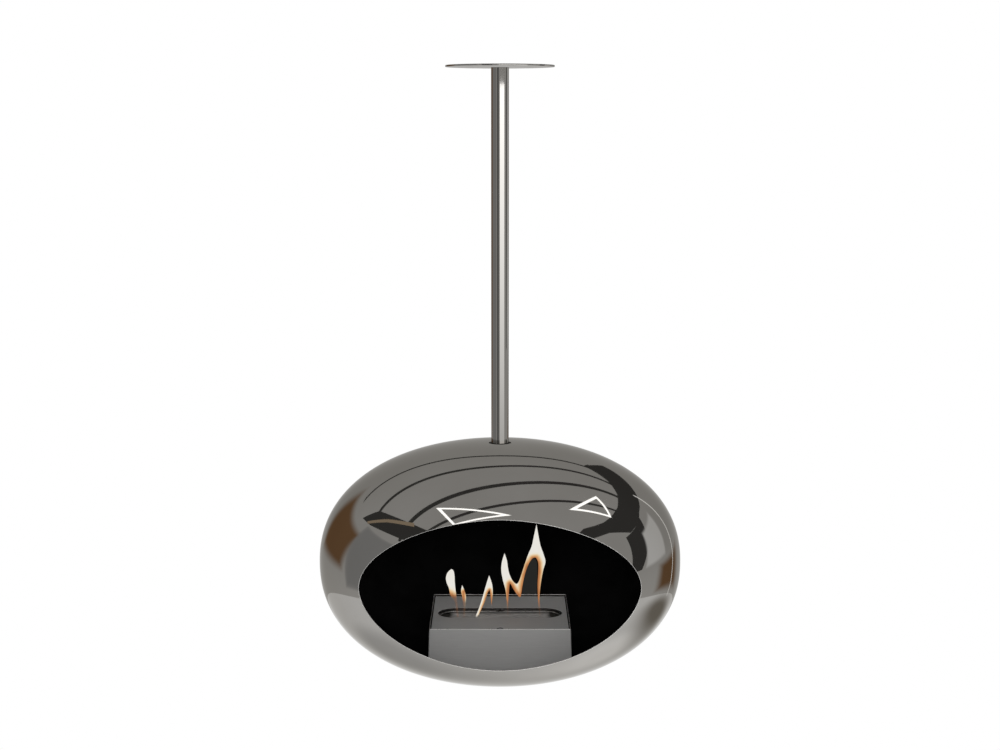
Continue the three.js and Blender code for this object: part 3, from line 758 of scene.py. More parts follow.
def make_shell():
    turn = mouth_turns()
    corner_out, rows_out = shell_rows(turn, 0)
    corner_in, rows_in = shell_rows(turn, BOWL_WALL)
    edge = edge_rows(rows_out[0], corner_out, corner_in, rows_in[0])
    edge_normals = grid_normals([rows_out[1], rows_out[0], *edge, rows_in[0], rows_in[1]])[2:-2]
    block = crown_block(rows_out)
    skin = ShellSkin()
    loops_out, hole_out = skin.add_side(rows_out, 1, block)
    loops_in, hole_in = skin.add_side(rows_in, -1, block)
    loops_edge = [skin.add(row, normals) for row, normals in zip(edge, edge_normals)]
    # The mouth's rounded edge takes bright steel that paints the highlight along it.
    skin.bands([loops_in[0], *loops_edge[::-1], loops_out[0]], 2)
    skin.bands([*hole_out, *hole_in[::-1]])
    shell = skin.build("bowl_shell", FINISHES["polished_steel"], CHAMBER_BLACK, HIGHLIGHT_EDGE_STEEL)
    shell.data.normals_split_custom_set_from_vertices(skin.normals)
    attach(shell, "bowl", "polished_steel", "shell")


make_shell()

# ---------- Ceiling plate, pole and grommet ----------

PLATE_LOW, PLATE_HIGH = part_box("ceiling_plate")
POLE_LOW, POLE_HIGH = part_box("pole")
GROMMET_LOW, GROMMET_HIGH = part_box("pole_grommet")
PLATE_ROUND = 0.9 * MM
POLE_WALL = 2 * MM
POLE_ROUND = 0.4 * MM
GROMMET_WALL = 2.6 * MM
GROMMET_ROUNDS = (0.3 * MM, 0.3 * MM, 1.1 * MM, 0.9 * MM)  # two edges below and two above
SCREW_HOLE_RADIUS = 3.25 * MM
SCREW_SINK_RADIUS = 5.75 * MM
SCREW_CIRCLE = PLATE_HIGH.x - 19 * MM
SCREW_ANGLES = (45, 135, 225, 315)
GRUB_HOLE_RADIUS = 3.3 * MM
GRUB_ANGLES = (55, 125)  # degrees from +X, at the pole's back
GRUB_DROP = 18 * MM
CUT_SPARE = 1 * MM  # how far a cutter stands out of the plate


def make_ceiling_plate():
    rim, low, high = PLATE_HIGH.x, PLATE_LOW.z, PLATE_HIGH.z
    steel = FINISHES["polished_steel"]
    profile = fillet([(0, low), (rim, low), (rim, high), (0, high)], [0, PLATE_ROUND, PLATE_ROUND, 0], 6)
    thing = turned("ceiling_disc", profile, 160, steel)
    hole = [
        (0, low - CUT_SPARE),
        (SCREW_SINK_RADIUS + CUT_SPARE, low - CUT_SPARE),
        (SCREW_HOLE_RADIUS, low + SCREW_SINK_RADIUS - SCREW_HOLE_RADIUS),
        (SCREW_HOLE_RADIUS, high + CUT_SPARE),
        (0, high + CUT_SPARE),
    ]
    cutters = []
    for angle in map(radians, SCREW_ANGLES):
        cutter = turned("screw_hole", hole, 40, steel)
        cutter.location = (SCREW_CIRCLE * cos(angle), SCREW_CIRCLE * sin(angle), 0)
        cutters.append(cutter)
    combine(thing, "DIFFERENCE", cutters)
    even_normals(thing)
    attach(thing, "hanger", "polished_steel", "ceiling_plate")


def make_pole():
    outer, low, high = POLE_HIGH.x, POLE_LOW.z, POLE_HIGH.z
    inner = outer - POLE_WALL
    profile = fillet([(inner, low), (outer, low), (outer, high), (inner, high)], [POLE_ROUND] * 4, 3)
    thing = turned("hanger_pole", profile, 96, DRAWN_STEEL)
    hole = [(0, 0), (GRUB_HOLE_RADIUS, 0), (GRUB_HOLE_RADIUS, 2 * outer), (0, 2 * outer)]
    cutters = []
    for angle in map(radians, GRUB_ANGLES):
        cutter = turned("grub_hole", hole, 32, DRAWN_STEEL)
        cutter.rotation_euler = (0, pi / 2, angle)
        cutter.location = (0, 0, -GRUB_DROP)
        cutters.append(cutter)
    combine(thing, "DIFFERENCE", cutters)
    even_normals(thing)
    attach(thing, "hanger", "polished_steel", "pole")


def make_grommet():
    outer, low, high = GROMMET_HIGH.x, GROMMET_LOW.z, GROMMET_HIGH.z
    inner = outer - GROMMET_WALL
    profile = fillet([(inner, low), (outer, low), (outer, high), (inner, high)], GROMMET_ROUNDS, 6)
    thing = turned("grommet_ring", profile, 72, FINISHES["black_rubber"])
    even_normals(thing)
    attach(thing, "bowl", "black_rubber", "pole_grommet")


make_ceiling_plate()
make_pole()
make_grommet()

# The photograph's bowl mirrors the room round it but not its own pole and plate.
for name in ("ceiling_disc", "hanger_pole"):
    bpy.data.objects[name].visible_glossy = False
for name in ("plate_boss", "grub_screw_1", "grub_screw_2", "pole_end_plug", "hanger_bolt"):
    frame["nodes"][name].visible_glossy = False

# ---------- Burner casing ----------

CASING_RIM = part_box("burner_casing")[1].z
CASING_HALF_WIDTH = 113 * MM
CASING_HALF_DEPTH = 110 * MM
CASING_ROWS = 6
CORNER_ROUND = 1.8 * MM
TIGHTEST_ROUND = 0.3 * MM
RIM_ROUND = 0.7 * MM
FLOOR_GUESS = 90 * MM  # first guess of how far the bowl's floor is below the rim
FLOOR_TRIES = 12
LEDGE_DROP = 5.3 * MM
LEDGE_CENTRE = 75 * MM
LEDGE_HALF_WIDTH = 20 * MM
LEDGE_DEPTH = 9.7 * MM
LEDGE_ROUND = 2 * MM


def casing_loop(inset, drops):
    """Outline of the tapered casing, each point at its own drop below the rim."""
    width, depth = CASING_HALF_WIDTH - inset, CASING_HALF_DEPTH - inset
    corner = max(CORNER_ROUND - inset, TIGHTEST_ROUND)
    plan = np.array(rounded_rectangle(width, depth, corner))
    drops = np.broadcast_to(drops, (len(plan),))
    grow_x = 1 + drops * CASING_TAPER / width
    grow_y = 1 + drops * CASING_TAPER / depth
    return np.stack([plan[:, 0] * grow_x, plan[:, 1] * grow_y, CASING_RIM - drops], -1)


def floor_drops(inset):
    """How far below the rim each point of the outline meets the bowl's floor."""
    drops = np.array([FLOOR_GUESS])
    for _ in range(FLOOR_TRIES):
        loop = casing_loop(inset, drops)
        drops = CASING_RIM - bowl_floor(np.hypot(loop[:, 0], loop[:, 1]), BOWL_WALL + FIT)
    return drops


def casing_side(inset):
    """Loops of one side of the casing, from its rim's rounding down to the bowl's floor."""
    fall = floor_drops(inset) - RIM_ROUND
    return [casing_loop(inset, RIM_ROUND + fall * k / CASING_ROWS) for k in range(CASING_ROWS + 1)]


def make_casing():
    """Its skin runs up the inside, over the rounded rim and down the outside."""
    skin = Skin()
    rim = [casing_loop(CASING_WALL - RIM_ROUND * end, RIM_ROUND * side) for side, end in QUARTER_ROUND[1:-1]]
    rim += [casing_loop(RIM_ROUND * side, RIM_ROUND * end) for side, end in QUARTER_ROUND[:-1]]
    inside, outside = casing_side(CASING_WALL)[::-1], casing_side(0)
    inside, rim, outside = ([skin.loop(points) for points in rows] for rows in (inside, rim, outside))
    # The inside walls take the third finish: dark steel that paints their shade.
    skin.bands(inside[::-1], 2)
    # The rounded rim takes bright steel that paints the highlight along it.
    skin.bands([outside[0], *rim[::-1], inside[-1]], 1)
    skin.bands(outside[::-1])
    skin.bands([inside[0], outside[-1]])
    casing = skin.build("burner_box", FINISHES["brushed_steel"], HIGHLIGHT_EDGE_STEEL, PAINTED_SHADE_STEEL)
    combine(casing, "UNION", [make_ledge(side, end) for side in (-1, 1) for end in (-1, 1)])
    even_normals(casing)
    attach(casing, "bowl", "brushed_steel", "burner_casing")


def make_ledge(side, end):
    """One of the four turned-in tabs that carry the top plate."""
    top = CASING_RIM - LEDGE_DROP
    inner = CASING_HALF_DEPTH - CASING_WALL - LEDGE_DEPTH
    outer = CASING_HALF_DEPTH - CASING_WALL / 2
    half = LEDGE_HALF_WIDTH
    corners = [(-half, inner), (half, inner), (half, outer), (-half, outer)]
    plan = fillet(corners, [LEDGE_ROUND, LEDGE_ROUND, 0, 0])
    plan = [(x + side * LEDGE_CENTRE, end * y) for x, y in plan][::end]
    skin = Skin()
    loops = [skin.loop((x, y, z) for x, y in plan) for z in (top - CASING_WALL, top)]
    skin.bands(loops)
    skin.face(loops[0][::-1])
    skin.face(loops[1])
    return skin.build("ledge", FINISHES["brushed_steel"])


make_casing()

# ---------- Burner insert ----------

TOP_LOW, TOP_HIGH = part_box("burner_top_plate")
DECK_LOW, DECK_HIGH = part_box("tank_deck")
TANK_LOW, TANK_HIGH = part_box("fuel_tank")
WOOL_LOW, WOOL_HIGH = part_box("ceramic_wool")
SLIDE_LOW, SLIDE_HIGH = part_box("snuffer_slide")
SLOT_LENGTH = 2 * (CASING_HALF_WIDTH - SLOT_END_MARGIN)
SLOT_BACK = 29.4 * MM
SLOT_CENTRE = SLOT_BACK - SLOT_WIDTH / 2
NOTCH_HALF_WIDTH = 5 * MM
NOTCH_LENGTH = 18 * MM
NOTCH_STEPS = 16
TOP_EDGE = 0.4 * MM
SHEET_EDGE = 0.3 * MM
DECK_SLOT_STEP = 3 * MM
DECK_CORNER = 1.5 * MM
STUD_HOLE_RADIUS = 1.8 * MM
TAB_HALF_WIDTH = 6 * MM
TAB_LENGTH = 5 * MM
TAB_ROUND = 2 * MM
SLIDE_ROUND = 1 * MM
PULL_HOLE_RADIUS = 2.25 * MM
PULL_HOLE_PLACE = 3.6 * MM  # behind the tab's end
TANK_WALL = 1.2 * MM
TANK_CORNER = 4 * MM
TANK_BEND = 3 * MM
TIGHTEST_TANK_CORNER = 0.8 * MM


def make_top_plate():
    half, front, back = TOP_HIGH.x, TOP_LOW.y, TOP_HIGH.y
    notch_end = front + NOTCH_LENGTH - NOTCH_HALF_WIDTH
    turns = [pi - pi * step / NOTCH_STEPS for step in range(NOTCH_STEPS + 1)]
    notch = [(NOTCH_HALF_WIDTH * cos(t), notch_end + NOTCH_HALF_WIDTH * sin(t)) for t in turns]
    rim = [
        (-half, front), (-NOTCH_HALF_WIDTH, front), *notch, (NOTCH_HALF_WIDTH, front), (half, front),
        (half, back), (-half, back),
    ]
    slot = slot_outline(SLOT_LENGTH, SLOT_WIDTH, SLOT_CENTRE)
    # Its faces take the lighter, less metallic plate steel, painted light against the bowl's shade; its cut
    # edges take dark steel that paints their shade.
    thing = plate("top_sheet", [rim, slot], TOP_LOW, TOP_HIGH, TOP_EDGE, LIFTED_PLATE_STEEL, PAINTED_SHADE_STEEL)
    attach(thing, "burner_insert", "brushed_steel", "burner_top_plate")


def make_deck():
    half, front, back = DECK_HIGH.x, DECK_LOW.y, DECK_HIGH.y
    rim = fillet([(-half, front), (half, front), (half, back), (-half, back)], [DECK_CORNER] * 4)
    slot = slot_outline(SLOT_LENGTH - 2 * DECK_SLOT_STEP, SLOT_WIDTH - 2 * DECK_SLOT_STEP, SLOT_CENTRE)
    holes = []
    for i in range(1, 5):
        low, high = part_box(f"deck_stud_{i}")
        holes.append(circle(STUD_HOLE_RADIUS, (low.x + high.x) / 2, (low.y + high.y) / 2))
    outlines, steel = [rim, slot, *holes], FINISHES["sheet_steel"]
    # Its cut edges take bright steel that paints their highlight.
    thing = plate("deck_sheet", outlines, DECK_LOW, DECK_HIGH, SHEET_EDGE, steel, HIGHLIGHT_EDGE_STEEL)
    attach(thing, "burner_insert", "sheet_steel", "tank_deck")


def make_slide():
    """A sheet with a small pull tab at its front, which has a hole for a hook."""
    half, back = SLIDE_HIGH.x, SLIDE_HIGH.y
    tab_front, tab_half = SLIDE_LOW.y, TAB_HALF_WIDTH
    front = tab_front + TAB_LENGTH
    rim = [
        (-half, front), (-tab_half, front), (-tab_half, tab_front), (tab_half, tab_front), (tab_half, front),
        (half, front), (half, back), (-half, back),
    ]
    rounds = [SLIDE_ROUND] * 2 + [TAB_ROUND] * 2 + [SLIDE_ROUND] * 4
    outlines = [fillet(rim, rounds), circle(PULL_HOLE_RADIUS, 0, tab_front + PULL_HOLE_PLACE)]
    steel = FINISHES["sheet_steel"]
    # Its cut edges take dark steel that paints their shade.
    thing = plate("snuffer_sheet", outlines, SLIDE_LOW, SLIDE_HIGH, SHEET_EDGE, steel, PAINTED_SHADE_STEEL)
    attach(thing, "snuffer", "sheet_steel", "snuffer_slide")


def make_tank():
    """An open pressed box with rounded corners and a soft bottom edge."""
    half_x, half_y = TANK_HIGH.x, (TANK_HIGH.y - TANK_LOW.y) / 2
    centre_y = (TANK_HIGH.y + TANK_LOW.y) / 2
    floor, top, inner_bend = TANK_LOW.z, TANK_HIGH.z, TANK_BEND - TANK_WALL
    steps = [(TANK_BEND * side, floor + TANK_BEND * end) for side, end in QUARTER_ROUND]
    steps += [(0, top - SHEET_EDGE), (SHEET_EDGE, top)]
    steps += [(TANK_WALL - SHEET_EDGE, top), (TANK_WALL, top - SHEET_EDGE)]
    for side, end in reversed(QUARTER_ROUND):
        steps.append((TANK_WALL + inner_bend * side, floor + TANK_WALL + inner_bend * end))
    skin = Skin()
    loops = []
    for inset, z in steps:
        corner = max(TANK_CORNER - inset, TIGHTEST_TANK_CORNER)
        plan = rounded_rectangle(half_x - inset, half_y - inset, corner)
        loops.append(skin.loop((x, y + centre_y, z) for x, y in plan))
    skin.bands(loops)
    skin.face(loops[0][::-1])
    skin.face(loops[-1])
    tank = skin.build("tank_box", FINISHES["sheet_steel"])
    even_normals(tank)
    attach(tank, "burner_insert", "sheet_steel", "fuel_tank")


WOOL_STEP = 2 * MM
WOOL_LUMPS = 0.35 * MM
SHADED_ENDS = (74 * MM, 90 * MM)  # from the middle, between which painted shade darkens the wool towards the slot's ends


def wool_lump(x, y):
    """How far the wool's top is below its full height: two crossed waves, each bent by a slower one."""
    across, along = x / MM, y / MM
    wave = sin(0.31 * across + 1.3 * sin(0.23 * along)) + sin(0.37 * along + sin(0.19 * across))
    return WOOL_LUMPS * (2 - wave) / 2


def make_wool():
    """A pressed block whose top is gently uneven, never past the block's own size."""
    size = WOOL_HIGH - WOOL_LOW
    xs = np.linspace(WOOL_LOW.x, WOOL_HIGH.x, round(size.x / WOOL_STEP) + 1)
    ys = np.linspace(WOOL_LOW.y, WOOL_HIGH.y, round(size.y / WOOL_STEP) + 1)
    skin = Skin()
    top = [skin.loop((x, y, WOOL_HIGH.z - wool_lump(x, y)) for x in xs) for y in ys]
    front, back = (skin.loop((x, y, WOOL_LOW.z) for x in (xs[0], xs[-1])) for y in (ys[0], ys[-1]))
    skin.bands(top, closed=False)
    skin.face([*front, *reversed(top[0])])
    skin.face([*reversed(back), *top[-1]])
    skin.face([back[0], front[0], *[row[0] for row in top]])
    skin.face([front[1], back[1], *[row[-1] for row in reversed(top)]])
    skin.face([*reversed(front), *back])
    wool = skin.build("wick_block", FINISHES["wick_wool"])
    wool.data.set_sharp_from_angle(angle=radians(40))
    # The wool darkens towards the slot's ends: painted shade.
    mark(wool, "end_shade", eased(np.abs([vertex.co.x for vertex in wool.data.vertices]), *SHADED_ENDS))
    attach(wool, "burner_insert", "wick_wool", "ceramic_wool")


make_top_plate()
make_deck()
make_slide()
make_tank()
make_wool()

# ---------- Flames ----------

STEM_GLOW = 0.1  # how dense a flame is over the wool
HAZE_GLOW = 0.012  # how dense the haze is inside the largest flame
FLAME_THICKNESS = 4.5  # mm, at the thickest
FLAME_ROUND = 7.0  # mm from the edge at which a flame is thickest
FLAME_STEP = 1.1  # mm between points
FLAME_SWAY = 3  # mm
FLAME_WAVE = 26  # mm of height for each radian of sway
# Outlines in mm: across, and above the wool. A point given twice is a sharp tip.
# warm is the line where the flame is coolest, and reach how far its orange runs from there. fade has the
# heights between which the flame gets denser, glow how dense it is below and above them, and centre how
# far the flame is behind the middle of the bowl.
FLAMES = [
    dict(
        name="flame_1",
        outline=[
            (-71, 0), (-72.5, 12), (-75, 26), (-82, 36), (-84.5, 48), (-88, 57), (-89.2, 65), (-87.5, 72.5),
            (-84, 77.6), (-79.6, 80.6), (-76.4, 77), (-75, 69), (-74.6, 58), (-73.5, 46), (-71.5, 30),
            (-69.4, 14), (-68.5, 0),
        ],
        warm=[(-84, 38), (-78, 33), (-72, 30), (-70, 0)], reach=17, fade=(28, 46), centre=4,
    ),
    dict(
        name="flame_2",
        outline=[
            (-60.5, 0), (-60.5, 18), (-62.2, 34), (-64.2, 45), (-62.3, 54.6), (-62.3, 54.6), (-60, 49),
            (-57.6, 42), (-56, 33), (-57, 18), (-58.5, 0),
        ],
        warm=[(-60, -10), (-60.5, 44)], reach=8, fade=(23, 40), centre=-2,
    ),
    dict(
        name="flame_3",
        outline=[
            (-40.3, 1.5), (-36, 12), (-31.5, 25), (-27.6, 38), (-23.6, 52), (-21, 61), (-17.9, 70.8),
            (-17.9, 70.8), (-14.8, 62), (-12.6, 53), (-12.0, 42), (-12.8, 31), (-13.6, 20), (-13.6, 20),
            (-15.2, 30), (-15.9, 38), (-17.3, 45.3), (-20.6, 40), (-25.6, 25), (-30.6, 14), (-37, 1.5),
        ],
        warm=[(-38, -10), (-25.5, 24), (-20.5, 41), (-17.3, 46), (-15.4, 38), (-13.5, 20)], reach=7,
        fade=(1, 6), centre=0,
    ),
    dict(
        name="flame_4",
        outline=[
            (12.4, 2), (11.1, 26), (9.1, 45), (4.6, 63), (2.1, 79), (3.2, 94), (7.4, 108.6), (7.4, 108.6),
            (11.2, 97), (13.2, 83), (15.4, 73), (20, 62.5), (25, 56.6), (28.4, 56), (31.6, 61), (35, 71),
            (39.5, 86), (45.9, 105.5), (52, 120.6), (55.6, 137), (59.9, 156.8), (59.9, 156.8), (62.6, 141),
            (66.4, 122), (71.6, 107), (74.7, 94), (71.2, 80), (68.2, 63), (66, 45), (65.2, 28), (66.5, 2),
            (65.2, 2), (63.4, 20), (62.4, 38), (62, 56), (63, 76), (62.8, 92), (59, 100.6), (53, 99.2),
            (46.2, 88), (40.6, 70.5), (37, 52), (34.8, 37), (32.6, 33), (28, 38), (22, 47), (16.6, 56),
            (14.8, 44), (13.8, 26), (13.6, 2),
        ],
        warm=[
            (13.6, 4), (14.4, 40), (16.6, 56), (23, 46), (30, 36), (36, 36), (37, 52), (40.6, 70.5),
            (46.2, 88), (53, 99.2), (59, 100.6), (62.8, 92), (63, 76), (61.6, 50), (62.4, 30), (65, -10),
        ],
        reach=13, fade=(12, 36), centre=2,
    ),
    dict(
        name="flame_haze",
        outline=[
            (34, 2), (36.4, 36), (39, 60), (45, 84), (51, 96), (57, 98), (61, 90), (61.6, 70), (61, 40),
            (62.6, 2),
        ],
        fade=(6, 40), centre=9, glow=(0, HAZE_GLOW),
    ),
]


def smooth_outline(points):
    """A closed curve through the points, evenly sampled."""
    dense = []
    count = len(points)
    for i in range(count):
        a, b, c, d = (np.array(points[(i + k) % count], float) for k in (-1, 0, 1, 2))
        if np.allclose(b, c):
            continue
        bend, twist = 2 * a - 5 * b + 4 * c - d, 3 * b - a - 3 * c + d
        steps = max(2, int(np.ceil(np.linalg.norm(c - b) / FLAME_STEP)))
        for step in range(steps):
            t = step / steps
            dense.append(0.5 * (2 * b + (c - a) * t + bend * t**2 + twist * t**3))
    return np.array(dense)


def distance_to_line(points, line):
    """Distance from each point to the nearest stretch of a line."""
    best = np.full(len(points), np.inf)
    for start, end in zip(line, line[1:]):
        way = np.subtract(end, start)
        along = np.clip((points - start) @ way / max(way @ way, 1e-12), 0, 1)
        best = np.minimum(best, np.linalg.norm(points - start - along[:, None] * way, axis=1))
    return best


def filled_outline(border):
    """Points and faces of a flat mesh inside a closed curve, and each point's distance to the curve."""
    ring = [*border, border[0]]
    columns, rows = (np.arange(low, high, 2 * FLAME_STEP) for low, high in zip(border.min(0), border.max(0)))
    grid = np.stack(np.meshgrid(columns, rows), -1).reshape(-1, 2)
    inner = grid[distance_to_line(grid, ring) > 0.8 * FLAME_STEP]
    flat = [Vector(point) for point in (*border, *inner)]
    edges = [(i, (i + 1) % len(border)) for i in range(len(border))]
    flat, _, faces, *_ = delaunay_2d_cdt(flat, edges, [], 1, 1e-5)
    flat = np.array([tuple(point) for point in flat])
    return flat, faces, distance_to_line(flat, ring)


def make_flame(name, outline, fade, centre, warm=(), reach=1, glow=(STEM_GLOW, 1)):
    """A pillow-shaped tongue over an outline, thin at its edge. Without a warm line all of it is hot."""
    flat, faces, depth = filled_outline(smooth_outline(outline))
    share = np.clip(depth / FLAME_ROUND, 0, 1)
    swell = FLAME_THICKNESS / 2 * np.sqrt(1 - (1 - share) ** 2)
    sway = centre + FLAME_SWAY * np.sin(flat[:, 1] / FLAME_WAVE)
    heights = flat[:, 1] + WOOL_HIGH.z / MM
    skin = Skin()
    front = skin.loop(np.stack([flat[:, 0], sway - swell, heights], -1) * MM)
    back = skin.loop(np.stack([flat[:, 0], sway + swell, heights], -1) * MM)
    back = [f if edge else b for f, b, edge in zip(front, back, depth < 1e-3)]
    for face in faces:
        skin.face([front[i] for i in face])
        skin.face([back[i] for i in reversed(face)])
    thing = skin.build(name, FLAME_LIGHT)
    mark(thing, "flame_heat", np.tile(eased(distance_to_line(flat, warm), 0, reach), 2))
    mark(thing, "flame_glow", np.tile(glow[0] + (glow[1] - glow[0]) * eased(flat[:, 1], *fade), 2))
    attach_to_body(thing, "burner_insert")
    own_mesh(thing)


for flame in FLAMES:
    make_flame(**flame)

# ---------- CAD nodes that stay ----------

SOFT_EDGE = 0.25 * MM
SEAM_GAP = 0.01 * MM
ROUNDED_FROM = radians(38)  # between two faces, from which their edge is rounded


def smoothing_group():
    """Geometry nodes that shade a faceted node smooth."""
    group = bpy.data.node_groups.new("round_shading", "GeometryNodeTree")
    group.interface.new_socket("Geometry", in_out="INPUT", socket_type="NodeSocketGeometry")
    group.interface.new_socket("Geometry", in_out="OUTPUT", socket_type="NodeSocketGeometry")
    start = group.nodes.new("NodeGroupInput")
    shade = group.nodes.new("GeometryNodeSetShadeSmooth")
    end = group.nodes.new("NodeGroupOutput")
    group.links.new(start.outputs[0], shade.inputs["Geometry"])
    group.links.new(shade.outputs[0], end.inputs[0])
    return group


ROUND_SHADING = smoothing_group()


def dress(name, slot):
    """A node keeps its shape: it gets a finish, soft edges and even shading."""
    thing = frame["nodes"][name]
    thing.data.materials.clear()
    thing.data.materials.append(FINISHES[slot])
    modify(thing, "WELD", merge_threshold=SEAM_GAP)
    modify(thing, "BEVEL", width=SOFT_EDGE, segments=2, limit_method="ANGLE", angle_limit=ROUNDED_FROM)
    modify(thing, "NODES", node_group=ROUND_SHADING)
    even_normals(thing)


for part in frame["record"]["subparts"]:
    if not frame["nodes"][part["node"]].hide_render:
        dress(part["node"], part["material_slot"])

# ---------- Studio ----------

FLOOR_LEVEL = -2.4
FLOOR_SIZE = 60
FLOOR_FADE = (1.6, 3.2)  # metres from the middle between which the floor turns into the backdrop
FLOOR_LIFT = 0.45  # how much of the floor is backdrop even right under the object
BACKDROP = 1.0
ROOM_LIGHT = 0.62


def make_world():
    """White to the camera and in reflections, softer as light on the object."""
    scene.world = bpy.data.worlds.new("studio")
    graph = Graph(scene.world)
    graph.tree.nodes.clear()
    light = graph.add("ShaderNodeBackground", Color=(1, 1, 1, 1), Strength=ROOM_LIGHT)
    white = graph.add("ShaderNodeBackground", Color=(1, 1, 1, 1), Strength=BACKDROP)
    seen = graph.rays("Is Camera Ray", "Is Glossy Ray", "Is Transmission Ray")
    out = graph.add("ShaderNodeOutputWorld")
    graph.link(graph.blend(seen, light, white), out.inputs["Surface"])


def make_floor():
    """Pale floor that keeps the soft shadow near the object and runs out into the white backdrop."""
    bpy.ops.mesh.primitive_plane_add(size=FLOOR_SIZE, location=(0, 0, FLOOR_LEVEL))
    floor = bpy.context.object
    floor.name = "studio_floor"
    paint = Paint("studio_floor", Roughness=0.9, Specular_IOR_Level=0.1)
    paint.tint(paint.noise(0.7), (0.86, 0.86, 0.85), (0.9, 0.9, 0.89))
    distance = paint.add("ShaderNodeVectorMath", _operation="LENGTH")
    paint.link(paint.place, distance.inputs[0])
    far = paint.spread(distance.outputs["Value"], FLOOR_LIFT, 1, *FLOOR_FADE, "SMOOTHSTEP")
    backdrop = paint.math("MAXIMUM", paint.rays("Is Glossy Ray", "Is Transmission Ray"), far)
    white = paint.add("ShaderNodeEmission", Strength=BACKDROP)
    surface = paint.blend(backdrop, paint.shader, white)
    paint.link(surface, paint.tree.nodes["Material Output"].inputs["Surface"])
    floor.data.materials.append(paint.material)


def emitter(name, strength, colour=(1, 1, 1), soft=False):
    """Plain light for a card. A soft one fades out with the card's cover."""
    material = bpy.data.materials.new(name)
    material.cycles.emission_sampling = "NONE"
    graph = Graph(material)
    graph.tree.nodes.clear()
    light = graph.add("ShaderNodeEmission", Color=(*colour, 1), Strength=strength)
    surface = light.outputs[0]
    if soft:
        cover = graph.spread(graph.attribute("cover"), 0, 1, 0, 1, "SMOOTHSTEP")
        surface = graph.blend(cover, graph.add("ShaderNodeBsdfTransparent"), light)
    graph.link(surface, graph.add("ShaderNodeOutputMaterial").inputs["Surface"])
    return material


def height_light(name, levels, strengths, colour=(1, 1, 1)):
    """Light that changes from one strength to another between two heights."""
    material = emitter(name, 1, colour)
    graph = Graph(material)
    place = graph.add("ShaderNodeTexCoord")
    split = graph.add("ShaderNodeSeparateXYZ")
    graph.link(place.outputs["Object"], split.inputs[0])
    level = graph.spread(split.outputs["Z"], *strengths, *levels)
    graph.link(level, graph.tree.nodes["Emission"].inputs["Strength"])
    return material


def only_mirrored(thing):
    """A part of the studio that only reflections see."""
    thing.visible_camera = False
    thing.visible_diffuse = False
    thing.visible_shadow = False
    thing.visible_transmission = False


# ---------- The quiet room that the polished steel mirrors ----------

ROOM_RADIUS = 4.6
ROOM_HEIGHT = 1.4
ROOM_COLOUR = (1.0, 0.985, 0.96)
FLOOR_TONE = 0.62
CEILING_TONE = 0.5
WALL_TURN = -0.6  # the wall keeps the ceiling's tone down to here
LAYER = 0.01  # from the ceiling to the first layer of cards under it and from there to the next
RAILS = [  # where each ceiling rail crosses the middle, its slope across the room and its width
    (-0.04, 0.49, 0.11),
    (0.84, 0.55, 0.17),
    (2.13, 0.355, 0.17),
    (3.56, 0.08, 0.2),
]
RAIL_ENDS = (-3.2, 2.4)
BEAM_RIGHT = [
    (1.18, 3.77), (1.72, 3.0), (2.07, 2.25), (2.3, 1.4), (2.33, 0.65), (2.27, 0.2), (2.1, -0.15),
    (1.86, -0.5), (1.9, -1.0), (2.6, -0.9), (3.0, -0.1), (4.3, 1.0), (4.0, 2.2), (3.3, 3.15), (2.2, 4.0),
    (1.3, 4.4),
]
BEAM_LEFT = [(-1.5, -1.0), (-2.5, 1.35), (-3.7, 2.2), (-3.6, 1.2), (-2.85, -0.9)]
BATTEN_LEFT = [(-1.75, -0.2), (-2.46, 0.63), (-3.53, 1.6), (-3.68, 1.48), (-2.58, 0.49), (-1.86, -0.37)]
LIGHT_FRAMES = {  # corners of the three-sided tubes under the ceiling, and how wide each tube is
    "studio_frame_left": ([(-1.01, 0.18), (-0.89, -0.72), (0.19, -0.39)], 0.06),
    "studio_frame_right": ([(1.13, 0.16), (2.36, 0.65), (1.5, 1.26)], 0.08),
}
STRIP_HEIGHTS = (-1.05, 0.012)
DARK = emitter("studio_dark", 0.06, (1.0, 0.97, 0.93))
WOOD = emitter("studio_wood", 0.22, (1.0, 0.56, 0.28), soft=True)
WALL_CARDS = {  # turns at the foot and at the head, distance, heights, light, share that fades out
    "studio_flag_left": (
        (-108, -46), (-108, -46), 2.2, (-1.4, 0.45), emitter("studio_flag_left", 0.34, soft=True), 0.06,
    ),
    "studio_flag_front": ((-38, -16), (-38, -16), 2.2, (-1.6, 0.4), emitter("studio_flag_front", 0.15), 0),
    "studio_wood_left": ((-152, -112), (-152, -100), 4.5, (-1.6, 1.1), WOOD, 0.2),
    "studio_wood_right": ((108, 150), (112, 150), 4.4, (-2.3, -1.1), WOOD, 0.3),
    "studio_wall_right": ((86, 96), (96, 123), 4.5, (-1.0, ROOM_HEIGHT), DARK, 0),
    "studio_wall_back": ((160, 163), (126, 163), 4.5, (0.75, ROOM_HEIGHT), DARK, 0),
    "studio_wall_light": (
        (98, 126), (110, 134), 4.4, (-1.1, 0.9), emitter("studio_wall_light", 0.85, soft=True), 0.12,
    ),
    "studio_edge_right": ((134, 135), (142, 143), 4.3, (FLOOR_LEVEL, 1.2), emitter("studio_edge", 1.5), 0),
    "studio_strip": (
        (-3, 58), (-3, 58), 2.0, STRIP_HEIGHTS, height_light("studio_strip", STRIP_HEIGHTS, (0.8, 3.0)), 0,
    ),
}
